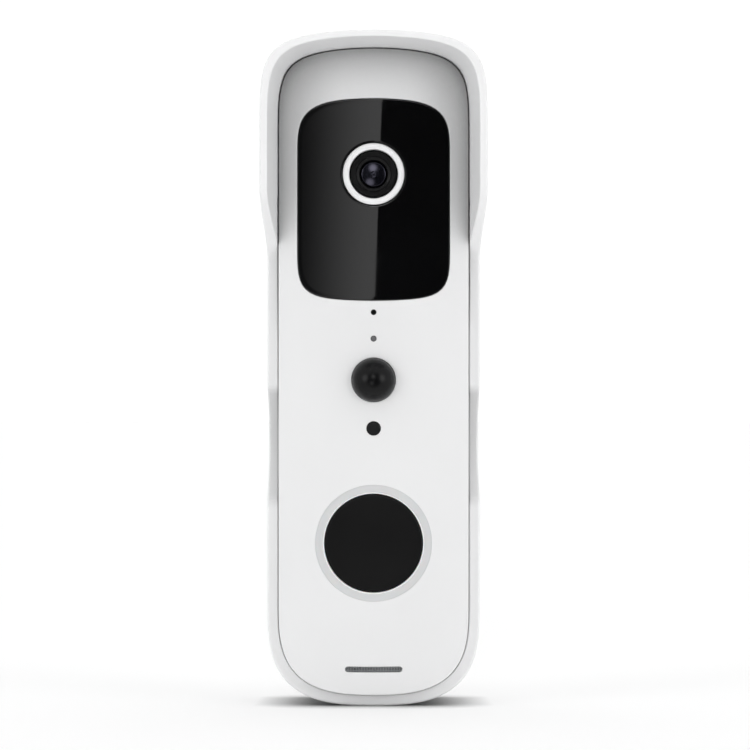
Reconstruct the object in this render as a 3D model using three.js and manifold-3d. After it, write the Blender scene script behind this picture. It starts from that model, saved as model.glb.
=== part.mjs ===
// A battery video doorbell in its wall bracket: the bracket is a back plate, a sleeve round the
// doorbell and a rain hood over its camera, and the doorbell pulls out of it towards the front.
// Millimetres. X is to the right, +Y goes into the wall and +Z is up, so the front faces -Y.
// The origin is the middle of the bracket's back face, on the wall.
import * as THREE from "three";
import { mergeVertices } from "three/addons/utils/BufferGeometryUtils.js";
import Module from "manifold-3d";

const wasm = await Module();
wasm.setup();

// ---------- driving dimensions ----------

// The doorbell's body, seen from the front.
const HALF = 20.25; // half its width
const TOP = 68.95;
const BOTTOM = -69.4;
const TOP_END = { depth: 26.2, crown: 3.0, power: 6.5 };
const BOTTOM_END = { depth: 20.3, crown: 1.9, power: 3.45 };
const END_STEPS = 8; // points in each quarter of an outline

// Depths, as Y.
const FACE = -31.0; // the doorbell's front face
const FACE_INSIDE = -28.6;
const FRONT_EDGE = -18.6; // where the front housing's wall ends
const REAR_EDGE = -17.2; // where the rear housing's wall starts
const REAR_INSIDE = -4.6;
const REAR = -2.6; // the doorbell's back
const PLATE = -2.2; // the bracket's back plate, front side
const BAND = -28.5; // the sleeve's front edge
const HOOD = -46.5; // the hood's front edge

const WALL = 1.5; // housing wall
const GAP = 0.3; // between the doorbell and the sleeve
const PAST = 1.0; // how far a cut runs past the face it cuts

// The sleeve's outside flares towards the front as a parabola.
const OUTSIDE_BACK = { side: 1.8, end: 2.33 };
const OUTSIDE_FLARE = { side: 2.15, end: 0.72 };
const INSIDE_FLARE = { side: 1.95, end: 1.35 };
const INSIDE_FLARE_START = -27.0;

// The front edge of the sleeve, seen from the side.
const HOOD_LOW = 38.6; // the hood is full depth above this
const BAND_HIGH = 23.2; // and has run out into the band here
const SCALLOP = { middle: -15.5, halfLength: 11.8, depth: 5.5 };

// What is on the face, by its height Z.
const WINDOW = {
  half: 16.27,
  top: 58.26,
  bottom: 15.06,
  topEnd: { depth: 14.5, crown: 1.7, power: 4.8 },
  bottomEnd: { depth: 15.8, crown: 1.1, power: 6.1 },
  front: -30.95,
  back: -29.55,
};
const CAMERA_Z = 42.15;
const MICROPHONE_Z = 12.5;
const STATUS_Z = 6.85;
const MOTION_Z = -2.0;
const LIGHT_SENSOR_Z = -12.4;
const BUTTON_Z = -37.0;
const SLOT = { z: -63.9, length: 12.3, width: 1.24, bowRadius: 110 };

const CAMERA_HOLE = 6.85;
const RING = { inner: 5.2, outer: 6.6 };
const DOME = { outer: 4.76, inner: 4.2, hole: 5.0, centre: -30.5, flange: 6.4 };
const BUTTON = { cap: 10.5, ringInner: 10.8, ringOuter: 12.4, hole: 12.6, flange: 13.4 };

// Inside the housings.
const BOARD = { front: -25.2, back: -24.0, half: 17.5, top: 18.6, bottom: -47.0 };
const CELL = { radius: 9.15, x: 9.3, y: -13.95, top: 29.0, bottom: -36.0 };
const BAY = { top: 30.3, bottom: -39.8, wall: 1.5, front: -17.5 };
const COVER = { top: 37.4, bottom: -44.4, half: 20.05, front: -4.7, shelf: -5.5, shelfFront: -7.5 };
const COVER_SCREW_Z = [34.8, -42.7];
const CASE_SCREW = {
  x: 14.5,
  top: 60.0,
  bottom: -55.0,
  frontBoss: 2.9,
  rearBoss: 3.1,
  pilot: 1.3,
  hole: 1.4,
  headHole: 2.4,
  headSeat: -5.4,
};
const PORT_BOARD = { front: -9.6, back: -8.4, half: 11.2, top: -45.6, bottom: -62.4 };
const PORT_Z = -50.0;
const FLAP = { half: 5.7, top: -46.8, bottom: -53.2, thick: 1.0 };
const RESET_X = 8.9;
const TERMINAL = { x: 6.0, z: -58.6 };
const SPEAKER = { z: -58.8, radius: 8.2, cone: 6.6, front: -28.0, back: -22.5 };

// The lock screw in the sleeve's bottom wall, and the notch that its boss sits in.
const LOCK = { y: -7.0, low: -71.5, high: -67.3, radius: 1.5, hole: 1.75, boss: 3.2, bossTop: -67.5 };
const NOTCH = { half: 4.2, roof: -66.6, front: -12.0, wall: 1.3, blockTop: -63.4 };

// The bracket's back plate.
const CABLE_WINDOW = { half: 13.0, top: -40.5, bottom: -63.0, corner: 3.0 };
const WALL_SCREW_Z = [52.0, -27.0];
const WALL_SLOT = { length: 9.0, width: 4.4, sinkLength: 13.0, sinkWidth: 8.4, sinkDepth: 0.9 };

// ---------- materials ----------

function finish(color, roughness, metalness = 0) {
  return new THREE.MeshStandardMaterial({ color, roughness, metalness });
}

const WHITE = finish(0xe9eaea, 0.45);
const BLACK_GLOSS = finish(0x0b0b0c, 0.08);
const BLACK = finish(0x18181a, 0.5);
const BLACK_RUBBER = finish(0x242426, 0.85);
const GREY_RUBBER = finish(0x8b8d90, 0.8);
const LIGHT_RING = finish(0xc9cbcc, 0.35);
const GLASS = finish(0x1a2230, 0.03);
const BOARD_GREEN = finish(0x1c4d33, 0.5);
const CHIP = finish(0x1d1e20, 0.6);
const STEEL = finish(0xb9bcc0, 0.3, 1);
const TIN = finish(0xc9c6bd, 0.35, 1);
const BRASS = finish(0xb89552, 0.35, 1);
const CELL_WRAP = finish(0x2c6db0, 0.4);
const RIBBON = finish(0xa6632a, 0.5);

// ---------- solids ----------

// A closed geometry as a solid for cutting and joining.
function solid(geometry) {
  const bare = geometry.clone();
  bare.deleteAttribute("normal");
  bare.deleteAttribute("uv");
  const merged = mergeVertices(bare, 1e-4);
  return new wasm.Manifold(
    new wasm.Mesh({
      numProp: 3,
      vertProperties: new Float32Array(merged.attributes.position.array),
      triVerts: new Uint32Array(merged.index.array),
    }),
  );
}

// A solid as a geometry again.
function geometryOf(shape) {
  const mesh = shape.getMesh();
  const geometry = new THREE.BufferGeometry();
  const points = new THREE.BufferAttribute(new Float32Array(mesh.vertProperties), mesh.numProp);
  geometry.setAttribute("position", points);
  geometry.setIndex(new THREE.BufferAttribute(new Uint32Array(mesh.triVerts), 1));
  return geometry;
}

function join(first, ...others) {
  return others.reduce((sum, other) => sum.add(other), first);
}

function cut(first, ...others) {
  return others.reduce((rest, other) => rest.subtract(other), first);
}

// A box between two corners, given as [low, high] on each axis.
function box(x, y, z) {
  const geometry = new THREE.BoxGeometry(x[1] - x[0], y[1] - y[0], z[1] - z[0]);
  geometry.translate((x[0] + x[1]) / 2, (y[0] + y[1]) / 2, (z[0] + z[1]) / 2);
  return geometry;
}

// A round bar along Y, between two depths.
function bar(radius, y, at = [0, 0], sides = 16) {
  const geometry = new THREE.CylinderGeometry(radius, radius, y[1] - y[0], sides);
  return geometry.translate(at[0], (y[0] + y[1]) / 2, at[1]);
}

// A piece turned about an axis along Y. The profile is a list of [radius, y] and runs from the
// front to the back; it closes on itself, or starts and ends on the axis.
function turned(profile, at = [0, 0], sides = 24) {
  const points = profile.map(([radius, y]) => new THREE.Vector2(radius, y));
  if (profile[0][0] > 0) points.push(points[0].clone());
  return new THREE.LatheGeometry(points, sides).translate(at[0], 0, at[1]);
}

// A flat shape in X and Z, as thick as the two depths are apart.
function plate(shape, y) {
  const geometry = new THREE.ExtrudeGeometry(shape, {
    depth: y[1] - y[0],
    bevelEnabled: false,
    curveSegments: 4,
  });
  return geometry.rotateX(Math.PI / 2).translate(0, y[1], 0);
}

// A flat shape in Y and Z, between two places on X.
function sideways(shape, x) {
  const geometry = new THREE.ExtrudeGeometry(shape, { depth: x[1] - x[0], bevelEnabled: false });
  const basis = new THREE.Matrix4().makeBasis(
    new THREE.Vector3(0, 1, 0),
    new THREE.Vector3(0, 0, 1),
    new THREE.Vector3(1, 0, 0),
  );
  return geometry.applyMatrix4(basis).translate(x[0], 0, 0);
}

// A rectangle with round corners, between two corners.
function roundedRectangle(x, z, radius) {
  const shape = new THREE.Shape();
  shape.absarc(x[1] - radius, z[1] - radius, radius, 0, Math.PI / 2);
  shape.absarc(x[0] + radius, z[1] - radius, radius, Math.PI / 2, Math.PI);
  shape.absarc(x[0] + radius, z[0] + radius, radius, Math.PI, 1.5 * Math.PI);
  shape.absarc(x[1] - radius, z[0] + radius, radius, 1.5 * Math.PI, 2 * Math.PI);
  return shape;
}

// A tube of one radius along a smooth curve through points, with few sides.
function tube(points, radius, steps, sides = 8) {
  const section = new THREE.Shape();
  for (let i = 0; i < sides; i += 1) {
    const angle = (2 * Math.PI * i) / sides;
    const corner = [radius * Math.cos(angle), radius * Math.sin(angle)];
    if (i === 0) section.moveTo(...corner);
    else section.lineTo(...corner);
  }
  const extrudePath = new THREE.CatmullRomCurve3(points.map((p) => new THREE.Vector3(...p)));
  return new THREE.ExtrudeGeometry(section, { steps, extrudePath, bevelEnabled: false });
}

// A flat ribbon seen from the side: a strip of one thickness along a smooth line in Y and Z.
function ribbon(points, x, thick) {
  const line = new THREE.CatmullRomCurve3(points.map(([y, z]) => new THREE.Vector3(y, z, 0)));
  const count = 3 * points.length;
  const edge = (side) =>
    Array.from({ length: count + 1 }, (_, i) => {
      const along = line.getPointAt(i / count);
      const way = line.getTangentAt(i / count);
      const off = (side * thick) / 2;
      return new THREE.Vector2(along.x - way.y * off, along.y + way.x * off);
    });
  return sideways(new THREE.Shape([...edge(1), ...edge(-1).reverse()]), x);
}

// ---------- outlines ----------

// Half of a crowned end, from its middle out to the side: [x, how far below the middle].
// It is a superellipse with a shallow parabola added. Its steps are packed where it turns, and
// the last is left out, because the side is straight there already.
function endPoints(half, { depth, crown, power }) {
  return Array.from({ length: END_STEPS }, (_, i) => {
    const toSide = (i / END_STEPS) ** (power / 2);
    const toMiddle = (1 - i / END_STEPS) ** (power / 2);
    const angle = ((Math.PI / 2) * toSide) / (toSide + toMiddle);
    const t = Math.sin(angle) ** (2 / power);
    const fall = 1 - Math.max(0, Math.cos(angle)) ** (2 / power);
    return [half * t, crown * t * t + (depth - crown) * fall];
  });
}

// A closed outline in X and Z, counter-clockwise from the front, starting at the bottom's middle.
function outline({ half, top, bottom, topEnd, bottomEnd }) {
  const low = endPoints(half, bottomEnd).map(([x, rise]) => new THREE.Vector2(x, bottom + rise));
  const high = endPoints(half, topEnd).map(([x, fall]) => new THREE.Vector2(x, top - fall));
  const right = [...low, ...high.reverse()];
  const left = right
    .slice(1, -1)
    .reverse()
    .map((p) => new THREE.Vector2(-p.x, p.y));
  return [...right, ...left];
}

// The doorbell's outline, moved outwards by one distance at its sides and another at its ends.
function bodyOutline(side, end = side) {
  return outline({
    half: HALF + side,
    top: TOP + end,
    bottom: BOTTOM - end,
    topEnd: { ...TOP_END, depth: TOP_END.depth + end },
    bottomEnd: { ...BOTTOM_END, depth: BOTTOM_END.depth + end },
  });
}

function windowOutline(offset) {
  return outline({
    half: WINDOW.half + offset,
    top: WINDOW.top + offset,
    bottom: WINDOW.bottom - offset,
    topEnd: { ...WINDOW.topEnd, depth: WINDOW.topEnd.depth + offset },
    bottomEnd: { ...WINDOW.bottomEnd, depth: WINDOW.bottomEnd.depth + offset },
  });
}

// A closed solid through outlines at several depths, given from the front to the back.
function loft(rings) {
  const count = rings[0].points.length;
  const positions = rings.flatMap(({ y, points }) => points.flatMap((p) => [p.x, y, p.y]));
  const faces = [];
  for (let ring = 0; ring + 1 < rings.length; ring += 1) {
    for (let i = 0; i < count; i += 1) {
      const a = ring * count + i;
      const b = ring * count + ((i + 1) % count);
      faces.push(a, a + count, b + count, a, b + count, b);
    }
  }
  const back = (rings.length - 1) * count;
  for (let i = 1; i + 1 < count; i += 1) {
    faces.push(0, i, i + 1);
    faces.push(back, back + i + 1, back + i);
  }
  const geometry = new THREE.BufferGeometry();
  geometry.setAttribute("position", new THREE.Float32BufferAttribute(positions, 3));
  geometry.setIndex(faces);
  return geometry;
}

// ---------- the wall bracket ----------

function outsideAt(y) {
  const share = (y / HOOD) ** 2;
  return {
    y,
    points: bodyOutline(
      OUTSIDE_BACK.side + OUTSIDE_FLARE.side * share,
      OUTSIDE_BACK.end + OUTSIDE_FLARE.end * share,
    ),
  };
}

function insideAt(y) {
  const share = Math.max(0, (y - INSIDE_FLARE_START) / (HOOD - INSIDE_FLARE_START));
  return {
    y,
    points: bodyOutline(GAP + INSIDE_FLARE.side * share, GAP + INSIDE_FLARE.end * share),
  };
}

// Everything in front of the sleeve's front edge: below the hood, its run-out into the band,
// and the two finger scallops, which are arcs.
function inFrontOfEdge() {
  const clear = HOOD - 15;
  const low = BOTTOM - 15;
  const shape = new THREE.Shape();
  shape.moveTo(clear, HOOD_LOW);
  shape.lineTo(HOOD - PAST, HOOD_LOW);
  const steps = 10;
  for (let i = 0; i <= steps; i += 1) {
    const t = 1 - i / steps;
    const z = BAND_HIGH + (HOOD_LOW - BAND_HIGH) * t;
    shape.lineTo(BAND + (HOOD - BAND) * t * t * (3 - 2 * t), z);
  }
  const { middle, halfLength, depth } = SCALLOP;
  const radius = (halfLength ** 2 + depth ** 2) / (2 * depth);
  const open = Math.asin(halfLength / radius);
  const arcSteps = 10;
  for (let i = 0; i <= arcSteps; i += 1) {
    const angle = open * (1 - (2 * i) / arcSteps);
    shape.lineTo(BAND + depth - radius + radius * Math.cos(angle), middle + radius * Math.sin(angle));
  }
  shape.lineTo(BAND, low);
  shape.lineTo(clear, low);
  return sideways(shape, [-2 * HALF, 2 * HALF]);
}

function slotCut(length, width, y, z) {
  const [x, halfWidth] = [length / 2, width / 2];
  const shape = roundedRectangle([-x, x], [z - halfWidth, z + halfWidth], halfWidth - 0.01);
  return solid(plate(shape, y));
}

// A round bar along Z on the lock screw's axis, between two heights.
function upright(radius, z, sides = 16) {
  return solid(bar(radius, z, [0, 0], sides).rotateX(Math.PI / 2).translate(0, LOCK.y, 0));
}

function wallBracket() {
  const outside = solid(loft([HOOD, -41, -35, BAND, -18, 0].map(outsideAt)));
  const inside = solid(loft([HOOD - PAST, INSIDE_FLARE_START, PLATE].map(insideAt)));
  const boss = upright(LOCK.boss, [BOTTOM - 0.6, LOCK.bossTop]);
  const screwHole = upright(LOCK.hole, [BOTTOM - 8, BOTTOM + 8]);
  const cableWindow = roundedRectangle(
    [-CABLE_WINDOW.half, CABLE_WINDOW.half],
    [CABLE_WINDOW.bottom, CABLE_WINDOW.top],
    CABLE_WINDOW.corner,
  );
  const through = [PLATE - PAST, PAST];
  const sink = [PLATE - PAST, PLATE + WALL_SLOT.sinkDepth];
  const shell = cut(outside, inside, solid(inFrontOfEdge()), solid(plate(cableWindow, through)));
  const slots = WALL_SCREW_Z.flatMap((z) => [
    slotCut(WALL_SLOT.length, WALL_SLOT.width, through, z),
    slotCut(WALL_SLOT.sinkLength, WALL_SLOT.sinkWidth, sink, z),
  ]);
  return geometryOf(cut(join(shell, boss), screwHole, ...slots));
}

function lockScrew() {
  const shank = upright(LOCK.radius, [LOCK.low, LOCK.high]);
  const socket = upright(0.9, [LOCK.low - PAST, LOCK.low + 1.6], 6);
  return geometryOf(cut(shank, socket));
}

// ---------- the doorbell's housings ----------

const CASE_SCREWS = [
  ["case_screw_top_left", -CASE_SCREW.x, CASE_SCREW.top],
  ["case_screw_top_right", CASE_SCREW.x, CASE_SCREW.top],
  ["case_screw_bottom_left", -CASE_SCREW.x, CASE_SCREW.bottom],
  ["case_screw_bottom_right", CASE_SCREW.x, CASE_SCREW.bottom],
];

// The speaker slot bows down a little at its middle.
function speakerSlot(margin, y) {
  const half = SLOT.length / 2 + margin;
  const thick = SLOT.width / 2 + margin;
  const open = half / SLOT.bowRadius;
  const centre = SLOT.z + SLOT.bowRadius;
  const shape = new THREE.Shape();
  const down = -Math.PI / 2;
  shape.absarc(0, centre, SLOT.bowRadius + thick, down - open, down + open, false);
  shape.absarc(0, centre, SLOT.bowRadius - thick, down + open, down - open, true);
  return solid(plate(shape, y));
}

function frontHousing() {
  const round = [0.7, 0.25, 0].map((inset, i) => ({
    y: FACE + [0, 0.25, 0.8][i],
    points: bodyOutline(-inset),
  }));
  const outside = solid(loft([...round, { y: FRONT_EDGE, points: bodyOutline(0) }]));
  const hollow = solid(
    loft([FACE_INSIDE, FRONT_EDGE + PAST].map((y) => ({ y, points: bodyOutline(-WALL) }))),
  );
  const bossDepth = [FACE_INSIDE - 0.4, REAR_EDGE - 0.3];
  const bosses = CASE_SCREWS.map(([, x, z]) => solid(bar(CASE_SCREW.frontBoss, bossDepth, [x, z])));
  const pilotDepth = [FACE_INSIDE + 2.6, REAR_EDGE + PAST];
  const pilots = CASE_SCREWS.map(([, x, z]) => solid(bar(CASE_SCREW.pilot, pilotDepth, [x, z], 16)));
  const recess = { front: FACE - PAST, floor: WINDOW.back + 0.25, margin: 0.25, lip: 1.5 };
  const windowSeat = solid(
    loft([recess.front, recess.floor].map((y) => ({ y, points: windowOutline(recess.margin) }))),
  );
  const windowHole = solid(
    loft([recess.front, FACE_INSIDE + PAST].map((y) => ({ y, points: windowOutline(-recess.lip) }))),
  );
  const through = [FACE - PAST, FACE_INSIDE + PAST];
  return geometryOf(
    cut(
      join(cut(outside, hollow), ...bosses),
      ...pilots,
      windowSeat,
      windowHole,
      solid(bar(0.6, through, [0, MICROPHONE_Z], 14)),
      solid(bar(0.75, through, [0, STATUS_Z], 14)),
      solid(bar(DOME.hole, through, [0, MOTION_Z], 24)),
      solid(bar(1.8, through, [0, LIGHT_SENSOR_Z], 20)),
      solid(bar(BUTTON.hole, through, [0, BUTTON_Z], 36)),
      speakerSlot(0, through),
      speakerSlot(1.1, [FACE_INSIDE - 1.2, FACE_INSIDE + PAST]),
    ),
  );
}

function rearHousing() {
  const outside = solid(
    loft([
      { y: REAR_EDGE, points: bodyOutline(0) },
      { y: REAR - 0.7, points: bodyOutline(0) },
      { y: REAR, points: bodyOutline(-0.6) },
    ]),
  );
  const hollow = solid(
    loft([REAR_EDGE - PAST, REAR_INSIDE].map((y) => ({ y, points: bodyOutline(-WALL) }))),
  );
  const inner = [-HALF + WALL - 0.5, HALF - WALL + 0.5];
  const across = [-2 * HALF, 2 * HALF];
  const seat = 0.3; // round the cover
  const coverSeat = solid(box(across, [COVER.shelf, PAST], [COVER.bottom - seat, COVER.top + seat]));
  // The wall at each end of the battery bay, and the shelf outside it that the cover lies on.
  const bayEnd = (inside, wallOutside, shelfOutside) => {
    const shape = new THREE.Shape();
    shape.moveTo(BAY.front, inside);
    shape.lineTo(REAR_INSIDE + 0.5, inside);
    shape.lineTo(REAR_INSIDE + 0.5, shelfOutside);
    shape.lineTo(COVER.shelfFront, shelfOutside);
    shape.lineTo(COVER.shelfFront, wallOutside);
    shape.lineTo(BAY.front, wallOutside);
    return solid(sideways(shape, inner));
  };
  const bayEnds = [
    bayEnd(BAY.top, BAY.top + BAY.wall, COVER.top + 1.5),
    bayEnd(BAY.bottom, BAY.bottom - BAY.wall, COVER.bottom - 1.5),
  ];
  const { rearBoss, hole, headHole, headSeat } = CASE_SCREW;
  const bossDepth = [REAR_EDGE + 0.2, REAR - 0.3];
  const bosses = CASE_SCREWS.map(([, x, z]) => solid(bar(rearBoss, bossDepth, [x, z])));
  const screwHoles = CASE_SCREWS.flatMap(([, x, z]) => [
    solid(bar(hole, [REAR_EDGE - PAST, PAST], [x, z], 16)),
    solid(bar(headHole, [headSeat, PAST], [x, z], 16)),
  ]);
  const coverHoles = COVER_SCREW_Z.map((z) => solid(bar(1.2, [-9, PAST], [0, z], 16)));
  const blockHalf = NOTCH.half + NOTCH.wall;
  const blockDepth = [NOTCH.front - NOTCH.wall, REAR_INSIDE + 0.5];
  const notchBlock = solid(box([-blockHalf, blockHalf], blockDepth, [BOTTOM + 0.8, NOTCH.blockTop]));
  const notch = solid(box([-NOTCH.half, NOTCH.half], [NOTCH.front, PAST], [BOTTOM - 9, NOTCH.roof]));
  const lockHole = upright(LOCK.hole + 0.1, [NOTCH.roof - 2, NOTCH.roof + 2.4]);
  const portPocket = box(
    [-FLAP.half - 0.3, FLAP.half + 0.3],
    [REAR - FLAP.thick - 0.15, PAST],
    [FLAP.bottom - 0.3, FLAP.top + 0.3],
  );
  const through = [REAR_INSIDE - 4, PAST];
  const portHole = box([-4.2, 4.2], through, [PORT_Z - 1.7, PORT_Z + 1.7]);
  const resetHole = solid(bar(1.8, through, [RESET_X, PORT_Z], 16));
  const terminalHoles = [-1, 1].map((s) => solid(bar(3.1, through, [s * TERMINAL.x, TERMINAL.z])));
  return geometryOf(
    cut(
      join(cut(outside, hollow), ...bosses, ...bayEnds, notchBlock),
      coverSeat,
      ...screwHoles,
      ...coverHoles,
      notch,
      lockHole,
      solid(portPocket),
      solid(portHole),
      resetHole,
      ...terminalHoles,
    ),
  );
}

// A seal that runs all the way round between the two housings' walls.
function housingSeal() {
  const y = [FRONT_EDGE + 0.3, REAR_EDGE - 0.3];
  const outside = solid(loft(y.map((at) => ({ y: at, points: bodyOutline(-0.3) }))));
  const inside = solid(loft([y[0] - 1, y[1] + 1].map((at) => ({ y: at, points: bodyOutline(-1.2) }))));
  return geometryOf(cut(outside, inside));
}

function frontWindow() {
  const { front, back } = WINDOW;
  const body = solid(
    loft([
      { y: front, points: windowOutline(-0.3) },
      { y: front + 0.3, points: windowOutline(0) },
      { y: back, points: windowOutline(0) },
    ]),
  );
  const hole = solid(bar(CAMERA_HOLE, [front - PAST, back + PAST], [0, CAMERA_Z], 32));
  return geometryOf(cut(body, hole));
}

// ---------- battery ----------

function batteryCover() {
  const { half, top, bottom, front } = COVER;
  const body = solid(plate(roundedRectangle([-half, half], [bottom, top], 1), [front, REAR]));
  const holes = COVER_SCREW_Z.flatMap((z) => [
    solid(bar(1.2, [front - PAST, PAST], [0, z], 16)),
    solid(bar(2.2, [front + 0.8, PAST], [0, z], 16)),
  ]);
  const gripDepth = 0.5;
  const grips = [-3, -1, 1, 3].map((step) =>
    solid(box([-7, 7], [REAR - gripDepth, PAST], [-33.4 + step, -32.6 + step])),
  );
  return geometryOf(cut(body, ...holes, ...grips));
}

function batteryCoverSeal() {
  const y = [COVER.shelf + 0.15, COVER.front - 0.15];
  const outside = roundedRectangle([-19.85, 19.85], [BAY.bottom - 1.2, BAY.top + 2.1], 1.4);
  outside.holes.push(
    new THREE.Path(roundedRectangle([-18.95, 18.95], [BAY.bottom - 0.3, BAY.top + 1.2], 0.6).getPoints(3)),
  );
  return plate(outside, y);
}

// A cell with its raised contact at the top and its rolled edge.
function cell(x) {
  const { radius, top, bottom } = CELL;
  const profile = [
    [0, bottom],
    [radius - 0.5, bottom],
    [radius, bottom + 0.5],
    [radius, top - 2.2],
    [radius - 0.4, top - 1.6],
    [3.4, top - 1.4],
    [3.0, top],
    [0, top],
  ];
  const points = profile.map(([r, z]) => new THREE.Vector2(r, z));
  return new THREE.LatheGeometry(points, 20).rotateX(Math.PI / 2).translate(x, CELL.y, 0);
}

// A coil spring that presses on the cell's flat end.
function contactSpring(x) {
  const turns = 2.5;
  const count = 20;
  const low = BAY.bottom + 0.5;
  const high = CELL.bottom - 0.5;
  const points = Array.from({ length: count + 1 }, (_, i) => {
    const angle = (2 * Math.PI * turns * i) / count;
    const radius = 4.2 - (1.6 * i) / count;
    const z = low + ((high - low) * i) / count;
    return [x + radius * Math.cos(angle), CELL.y + radius * Math.sin(angle), z];
  });
  return tube(points, 0.35, 32, 5);
}

// ---------- screws ----------

// A pan-head screw along Y whose head faces the wall, with a cross cut in the head.
function screw(head, shank, headBack, headFront, tip, at) {
  const body = solid(
    turned(
      [
        [0, tip],
        [shank, tip],
        [shank, headFront],
        [head, headFront],
        [head, headBack - 0.3],
        [head - 0.4, headBack],
        [0, headBack],
      ],
      at,
      12,
    ),
  );
  const depth = [headBack - 0.7, headBack + PAST];
  const arm = head * 0.6;
  const cross = [
    box([at[0] - arm, at[0] + arm], depth, [at[1] - 0.25, at[1] + 0.25]),
    box([at[0] - 0.25, at[0] + 0.25], depth, [at[1] - arm, at[1] + arm]),
  ].map(solid);
  return geometryOf(cut(body, ...cross));
}

// ---------- camera ----------

function cameraRing() {
  const { inner, outer } = RING;
  return turned(
    [
      [inner, FACE - 0.1],
      [inner + 0.3, FACE - 0.35],
      [outer - 0.3, FACE - 0.35],
      [outer, FACE - 0.05],
      [outer, -27.2],
      [inner, -27.2],
    ],
    [0, CAMERA_Z],
    32,
  );
}

// The barrel steps in to the front glass, and runs back into the holder.
function lensBarrel() {
  return turned(
    [
      [4.6, FACE + 0.3],
      [4.95, FACE + 0.6],
      [4.95, -27.3],
      [4.4, -27.3],
      [4.4, -21.0],
      [3.2, -21.0],
      [3.2, -27.6],
      [3.0, -28.0],
      [3.0, -29.2],
      [3.7, -29.6],
      [3.9, -30.2],
    ],
    [0, CAMERA_Z],
  );
}

// The front element, domed towards the front.
function lensGlass() {
  const radius = 2.75;
  const rise = 0.9;
  const profile = [[0, -28.9 - rise]];
  for (let i = 1; i <= 5; i += 1) {
    const angle = ((Math.PI / 2) * i) / 5;
    profile.push([radius * Math.sin(angle), -28.9 - rise * Math.cos(angle)]);
  }
  profile.push([radius, -28.2], [0, -28.2]);
  return turned(profile, [0, CAMERA_Z]);
}

function lensHolder() {
  const half = 6.2;
  const at = [CAMERA_Z - half, CAMERA_Z + half];
  const body = solid(box([-half, half], [-26.6, -17.3], at));
  const bore = solid(bar(4.7, [-28, -18.8], [0, CAMERA_Z], 24));
  const sensorBay = solid(box([-4, 4], [-19, -17], [CAMERA_Z - 4, CAMERA_Z + 4]));
  return geometryOf(cut(body, bore, sensorBay));
}

// ---------- button ----------

// The cap is slightly dished, and a post under it meets the switch.
function buttonCap() {
  const { cap } = BUTTON;
  return turned(
    [
      [0, FACE + 0.25],
      [5, FACE + 0.2],
      [cap - 0.5, FACE + 0.05],
      [cap, FACE + 0.35],
      [cap, -28.6],
      [cap - 1.4, -28.6],
      [cap - 1.4, -29.4],
      [2.2, -29.4],
      [2.2, -28.0],
      [0, -28.0],
    ],
    [0, BUTTON_Z],
    36,
  );
}

function buttonLightRing() {
  const { ringInner, ringOuter, flange } = BUTTON;
  return turned(
    [
      [ringInner, FACE + 0.2],
      [ringInner + 0.2, FACE],
      [ringOuter - 0.1, FACE],
      [ringOuter, FACE + 0.1],
      [ringOuter, -28.5],
      [flange, -28.5],
      [flange, -27.9],
      [ringInner, -27.9],
    ],
    [0, BUTTON_Z],
    36,
  );
}

function buttonSwitch() {
  const half = 3.1;
  const body = solid(box([-half, half], [-27.0, BOARD.front - 0.1], [BUTTON_Z - half, BUTTON_Z + half]));
  return geometryOf(cut(body, solid(bar(2.0, [-28, -26.1], [0, BUTTON_Z], 20))));
}

// ---------- motion sensor ----------

// A hemisphere on a short neck, with a flange behind the face.
function motionDome() {
  const { outer, inner, centre, flange } = DOME;
  const steps = 5;
  const arc = (radius, from, to) =>
    Array.from({ length: steps + 1 }, (_, i) => {
      const angle = from + ((to - from) * i) / steps;
      return [radius * Math.sin(angle), centre - radius * Math.cos(angle)];
    });
  const quarter = Math.PI / 2;
  return turned(
    [
      ...arc(outer, 0, quarter),
      [outer, -28.4],
      [flange, -28.4],
      [flange, -27.7],
      [inner, -27.7],
      ...arc(inner, quarter, 0),
    ],
    [0, MOTION_Z],
    24,
  );
}

// ---------- rear ports ----------

function usbPort() {
  const shell = solid(box([-3.8, 3.8], [-8.3, -3.9], [PORT_Z - 1.4, PORT_Z + 1.4]));
  const mouth = solid(box([-3.4, 3.4], [-7.6, -3], [PORT_Z - 1.0, PORT_Z + 1.0]));
  const tongue = solid(box([-2.4, 2.4], [-7.8, -4.4], [PORT_Z - 0.3, PORT_Z + 0.3]));
  return geometryOf(join(cut(shell, mouth), tongue));
}

function portFlap() {
  const { half, top, bottom, thick } = FLAP;
  const lid = solid(plate(roundedRectangle([-half, half], [bottom, top], 0.8), [REAR - thick, REAR]));
  const nick = solid(box([-1.6, 1.6], [REAR - 0.4, PAST], [top - 0.9, top + PAST]));
  return geometryOf(cut(lid, nick));
}

function resetButton() {
  return turned(
    [
      [0, -5.5],
      [2.4, -5.5],
      [2.4, -4.85],
      [1.5, -4.85],
      [1.5, -2.9],
      [1.2, REAR],
      [0, REAR],
    ],
    [RESET_X, PORT_Z],
    20,
  );
}

function terminalPlate(x) {
  const z = TERMINAL.z;
  const body = solid(box([x - 3.3, x + 3.3], [-8.2, -7.2], [z - 3.1, z + 3.1]));
  return geometryOf(cut(body, solid(bar(1.6, [-10, -6], [x, z], 16))));
}

// ---------- speaker ----------

function speaker() {
  const { z, radius, cone, front, back } = SPEAKER;
  return turned(
    [
      [0, front + 1.2],
      [cone / 2, front + 1.6],
      [cone, front + 0.5],
      [cone + 0.7, front],
      [radius, front],
      [radius, front + 2.2],
      [cone, front + 3.0],
      [cone, back],
      [0, back],
    ],
    [0, z],
  );
}

function speakerSeal() {
  const { z, radius, front } = SPEAKER;
  const [inner, outer] = [radius - 1.0, radius - 0.1];
  return turned(
    [
      [inner, front - 0.5],
      [outer, front - 0.5],
      [outer, front - 0.1],
      [inner, front - 0.1],
    ],
    [0, z],
  );
}

// ---------- assembly ----------

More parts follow.
